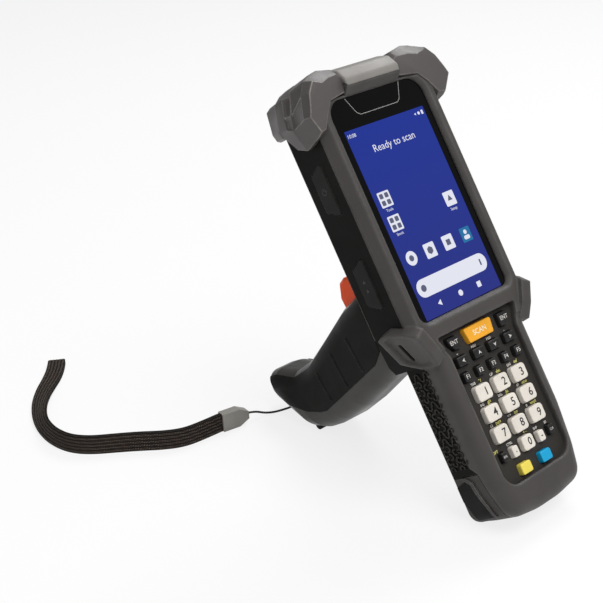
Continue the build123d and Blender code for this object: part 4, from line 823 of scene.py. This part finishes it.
tool_marks = bpy.data.node_groups.new("tool marks", "ShaderNodeTree")
tool_marks.interface.new_socket("Stretch", in_out="INPUT", socket_type="NodeSocketVector")
tool_marks.interface.new_socket("Marks", in_out="OUTPUT", socket_type="NodeSocketFloat")
tool_marks.interface.new_socket("Normal", in_out="OUTPUT", socket_type="NodeSocketVector")
given = tool_marks.nodes.new("NodeGroupInput")
made = tool_marks.nodes.new("NodeGroupOutput")
skin = coordinates(tool_marks, "Object")
tool_marks.links.new(given.outputs["Stretch"], skin.node.inputs["Scale"])
marks = tool_marks.nodes.new("ShaderNodeTexNoise")
marks.inputs["Scale"].default_value = 1.0
marks.inputs["Detail"].default_value = 3.0
tool_marks.links.new(skin, marks.inputs["Vector"])
relief = tool_marks.nodes.new("ShaderNodeBump")
relief.inputs["Distance"].default_value = 0.00001
tool_marks.links.new(marks.outputs["Fac"], relief.inputs["Height"])
tool_marks.links.new(marks.outputs["Fac"], made.inputs["Marks"])
tool_marks.links.new(relief.outputs["Normal"], made.inputs["Normal"])


def metal(name, tone, roughness, stretch):
    """Bare metal with fine tool marks, which are drawn out along one direction."""
    finish, tree, shader = new_finish(name, roughness)
    shader.inputs["Metallic"].default_value = 1.0
    surface = tree.nodes.new("ShaderNodeGroup")
    surface.node_tree = tool_marks
    surface.inputs["Stretch"].default_value = stretch
    marks = surface.outputs["Marks"]
    darker = tuple(v * 0.8 for v in paint(*tone)[:3]) + (1.0,)
    tree.links.new(two_tones(tree, marks, darker, paint(*tone)), shader.inputs["Base Color"])
    tree.links.new(ranged(tree, marks, roughness - 0.1, roughness + 0.1), shader.inputs["Roughness"])
    tree.links.new(surface.outputs["Normal"], shader.inputs["Normal"])
    return finish


zinc = metal("zinc", (172, 172, 176), 0.4, (400, 3000, 3000))
finish_node("scan_engine", zinc)
finish_node("speaker", moulded("speaker cone", (40, 40, 42), (90, 90, 92), 0.6, 0.3))

# ---- Screws -------------------------------------------------------------------------------------
# Small machine screws of plated steel: four hold the housing together from behind, and two
# clamp the grip's shells.
screw_steel = metal("plated steel", (150, 148, 144), 0.35, (2500, 2500, 2500))
finish_node("housing_screws", screw_steel)
finish_node("grip_screws", screw_steel)

# ---- Side buttons -------------------------------------------------------------------------------
# Rubber-faced buttons in the side walls, each with a moulded mark.
button_rubber = moulded("button rubber", (27, 26, 25), (66, 64, 60), 0.5, 0.15, 0.1, 2600, 0.00002, 0.0004)
button_ink = moulded("button ink", (62, 62, 60), (80, 80, 78), 0.5)
for node in ("side_button_left_upper", "side_button_left_lower", "side_button_right_lower"):
    finish_node(node, button_rubber)
for node, side, y in (("side_button_left_upper", -1, 26.0), ("side_button_left_lower", -1, -21.5), ("side_button_right_lower", 1, -21.5)):
    bm = bmesh.new()
    if "upper" in node:
        bmesh.ops.create_circle(bm, cap_ends=False, segments=28, radius=1.6)
        ring_edges = [e for e in bm.edges if e.verts[0].co.y < 1.25 or e.verts[1].co.y < 1.25]
        bmesh.ops.delete(bm, geom=[e for e in bm.edges if e not in ring_edges], context="EDGES")
        ribbon = bmesh.ops.extrude_edge_only(bm, edges=list(bm.edges))["geom"]
        inner = [v for v in ribbon if isinstance(v, bmesh.types.BMVert)]
        bmesh.ops.scale(bm, vec=(0.78, 0.78, 1), verts=inner)
        grown = bmesh.ops.extrude_face_region(bm, geom=list(bm.faces))["geom"]
        bmesh.ops.translate(bm, vec=(0, 0, 0.15), verts=[v for v in grown if isinstance(v, bmesh.types.BMVert)])
        bmesh.ops.recalc_face_normals(bm, faces=bm.faces)
        slab(bm, box_outline(-0.18, 0.18, 0.2, 2.0), 0.0, 0.15)
    else:
        for dy in (-2.2, 2.2):
            slab(bm, [(-1.1, dy - 0.8), (1.1, dy - 0.8), (0.0, dy + 0.9)], 0.0, 0.15)
    onto_side = Matrix.Translation((side * 40.16, y, -14.2)) @ Matrix.Rotation(side * pi / 2, 4, "Y")
    bmesh.ops.transform(bm, matrix=onto_side, verts=bm.verts)
    stood_up(bm, node.replace("side_button", "button_mark"), node, button_ink)

# ---- Grip ---------------------------------------------------------------------------------------
# Two hollow shells, screwed together through their bosses, with a rubbery satin skin and two
# rubber feet under the base.
# pale edges on the grip plastic and rubber: partly wear, partly a painted highlight
grip_plastic = moulded("grip plastic", (46, 44, 40), (110, 108, 100), 0.38, 0.45, 0.16, 2400, 0.000015, 0.0005)
grip_rubber = moulded("grip rubber", (15, 15, 13), (96, 93, 86), 0.5, 0.12, 0.16, 2400, 0.00003, 0.0003)
finish_node("grip_left_shell", grip_plastic)
finish_node("grip_right_shell", grip_plastic)
finish_node("grip_feet", seal_rubber)


def skin_patch(node, name, areas, side, body, finish):
    """Raised areas on one side of a piece, each with its corners (y, z) and its height."""
    bm = bmesh.new()
    for corners, lift in areas:
        layer = bmesh.new()
        layer.from_mesh(nodes[node].data)
        bmesh.ops.transform(layer, matrix=standing.inverted(), verts=layer.verts)
        bmesh.ops.remove_doubles(layer, verts=layer.verts, dist=0.002)
        for (y0, z0), (y1, z1) in zip(corners, corners[1:] + corners[:1]):
            bmesh.ops.bisect_plane(
                layer, geom=layer.verts[:] + layer.edges[:] + layer.faces[:], plane_co=(0, y0, z0),
                plane_no=(0, z1 - z0, y0 - y1), clear_outer=True,
            )
        bmesh.ops.bisect_plane(
            layer, geom=layer.verts[:] + layer.edges[:] + layer.faces[:], plane_co=(12.5 * side, 0, 0),
            plane_no=(side, 0, 0), clear_inner=True,
        )
        layer.normal_update()
        hidden = [f for f in layer.faces if f.normal.x * side < 0.3]
        bmesh.ops.delete(layer, geom=hidden, context="FACES")
        grown = bmesh.ops.extrude_face_region(layer, geom=list(layer.faces))["geom"]
        for vertex in [v for v in grown if isinstance(v, bmesh.types.BMVert)]:
            vertex.co += vertex.normal * lift
        bmesh.ops.recalc_face_normals(layer, faces=layer.faces)
        mesh = bpy.data.meshes.new("layer")
        layer.to_mesh(mesh)
        layer.free()
        bm.from_mesh(mesh)
        bpy.data.meshes.remove(mesh)
    return stood_up(bm, name, body, finish)


# the rubber inlay on each side, and three ribs across it
inlay = [
    (-54, -52), (-60, -60), (-74.3, -112), (-74, -117), (-71.5, -127), (-64, -142), (-50, -156),
    (-36, -156), (-18, -100), (-18, -52),
]
grip_ribs = [
    ([(back, low + 3.6), (back, low + 2.4), (front, low), (front, low + 1.2)], 0.7)
    for front, back, low in ((-53.6, -70.0, -107.9), (-46.5, -65.5, -90.5), (-41.5, -60.5, -73.5))
]
for side, node in ((-1, "grip_left_shell"), (1, "grip_right_shell")):
    skin_patch(node, node.replace("shell", "inlay"), [(inlay, 0.4)] + grip_ribs, side, "terminal", grip_rubber)
# the raised bead where the side walls turn into the back: its pale tone and bright edges are a painted highlight along
# that edge
bead_painted_highlight = moulded("bead plastic", (74, 72, 68), (168, 165, 158), 0.4, 0.4, 0.12, 2200, 0.00002, 0.0003, 0.9)
bead = [(-46.5, -25.5), (56, -25.5), (56, -24.7), (-46.5, -24.7)]
for side, name in ((-1, "side_bead_left"), (1, "side_bead_right")):
    skin_patch("rear_housing", name, [(bead, 0.3)], side, "terminal", bead_painted_highlight)

# ---- Trigger --------------------------------------------------------------------------------------
# An orange lever that turns on a steel pin inside the grip's neck. A torsion spring holds it
# out, and a small switch behind it makes the contact.
# the trigger's pale yellow edges are a painted highlight, partly wear
trigger_plastic = moulded("trigger plastic", (255, 84, 18), (255, 196, 120), 0.35, 0.22, 0.1, 1800, 0.00001, 0.001, 0.9)
trigger_lever = softened("trigger", "trigger_lever", 0.0016, 20, 4)
trigger_lever.data.materials.append(trigger_plastic)
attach(trigger_lever, "trigger")
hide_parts("trigger")
finish_node("trigger_pin", screw_steel)
finish_node("trigger_spring", metal("spring steel", (176, 174, 170), 0.3, (4000, 4000, 4000)))
finish_node("trigger_switch", moulded("switch body", (30, 30, 32), (60, 60, 62), 0.5))

# ---- Battery ----------------------------------------------------------------------------------------
# A slide-in pack: a plastic case that also closes the terminal's tail, two lithium cells in
# their sleeves, and a sprung latch that slides on the case's back.
battery_plastic = moulded("battery plastic", (64, 61, 59), (96, 92, 88), 0.55, 0.3, 0.12, 2200, 0.00002, 0.0005)
finish_node("battery_case", battery_plastic)
finish_node("battery_cells", moulded("cell sleeve", (26, 70, 120), (60, 100, 150), 0.35, 0.5))
finish_node("battery_latch", moulded("latch plastic", (46, 44, 43), (80, 77, 74), 0.5))
# the finger ridge along each side of the end cap, its pale edges a painted highlight, with a near-black strip behind it
# that is painted shade where the cap is recessed
ridge_plastic = moulded("ridge plastic", (58, 55, 53), (158, 155, 148), 0.45, 0.35, 0.12, 2200, 0.00002, 0.0005, 0.93)
ridge = [
    ([(-125.6, -14.3), (-124.8, -12.3), (-120.9, -16.6), (-122.4, -17.9)], 0.8),
    ([(-144.8, -12.4), (-144.4, -10.6), (-124.9, -12.3), (-125.7, -14.2)], 0.8),
]
# painted shade: a near-black raised strip where the cap is recessed behind the ridge
recess_shade_strip = [(-144.8, -24.5), (-144.8, -13.2), (-126.2, -14.8), (-124.0, -17.5), (-126.0, -24.0), (-131.0, -25.5)]
for side, name in ((-1, "left"), (1, "right")):
    skin_patch("battery_case", f"cap_ridge_{name}", [(c[::-1], h) for c, h in ridge], side, "battery", ridge_plastic)
    skin_patch("battery_case", f"cap_strip_{name}", [(recess_shade_strip[::-1], 0.25)], side, "battery", grip_rubber)

# ---- Table and light ----------------------------------------------------------------------------------
# A white table top that keeps the terminal's soft shadow, under two large soft lamps.
table_white, tree, shader = new_finish("white table", 0.6, 0.2)
shader.inputs["Base Color"].default_value = (0.86, 0.86, 0.86, 1)
glow = tree.nodes.new("ShaderNodeEmission")
rays = tree.nodes.new("ShaderNodeLightPath")
seen = tree.nodes.new("ShaderNodeMath")
seen.operation = "MAXIMUM"
tree.links.new(rays.outputs["Is Camera Ray"], seen.inputs[0])
tree.links.new(rays.outputs["Is Glossy Ray"], seen.inputs[1])
share = tree.nodes.new("ShaderNodeMath")
share.operation = "MULTIPLY"
share.inputs[1].default_value = 0.8
tree.links.new(seen.outputs["Value"], share.inputs[0])
mixed = tree.nodes.new("ShaderNodeMixShader")
tree.links.new(share.outputs["Value"], mixed.inputs["Fac"])
tree.links.new(shader.outputs["BSDF"], mixed.inputs[1])
tree.links.new(glow.outputs["Emission"], mixed.inputs[2])
tree.links.new(mixed.outputs["Shader"], tree.nodes["Material Output"].inputs["Surface"])
bm = bmesh.new()
bmesh.ops.create_grid(bm, x_segments=1, y_segments=1, size=6)
table_mesh = bpy.data.meshes.new("table")
bm.to_mesh(table_mesh)
bm.free()
table_mesh.materials.append(table_white)
table = bpy.data.objects.new("table", table_mesh)
scene.collection.objects.link(table)
table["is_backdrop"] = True

world = bpy.data.worlds.new("studio")
world.use_nodes = True
scene.world = world
tree = world.node_tree
ambient = tree.nodes["Background"]
ambient.inputs["Color"].default_value = (1, 1, 1, 1)
ambient.inputs["Strength"].default_value = 0.32
white = tree.nodes.new("ShaderNodeBackground")
rays = tree.nodes.new("ShaderNodeLightPath")
mixed = tree.nodes.new("ShaderNodeMixShader")
tree.links.new(rays.outputs["Is Camera Ray"], mixed.inputs["Fac"])
tree.links.new(ambient.outputs["Background"], mixed.inputs[1])
tree.links.new(white.outputs["Background"], mixed.inputs[2])
tree.links.new(mixed.outputs["Shader"], tree.nodes["World Output"].inputs["Surface"])


def soft_lamp(name, place, aim, size, watts):
    """A square soft box that faces a point."""
    data = bpy.data.lights.new(name, "AREA")
    data.size = size
    data.energy = watts
    lamp = bpy.data.objects.new(name, data)
    lamp.location = place
    lamp.rotation_euler = (Vector(aim) - Vector(place)).to_track_quat("-Z", "Y").to_euler()
    scene.collection.objects.link(lamp)


soft_lamp("lamp_front", (-0.05, -0.66, 1.2), (0, 0, 0.1), 0.8, 13.0)
soft_lamp("lamp_top", (0.82, 0.33, 1.1), (0, 0, 0.15), 0.6, 9.0)

low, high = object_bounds()
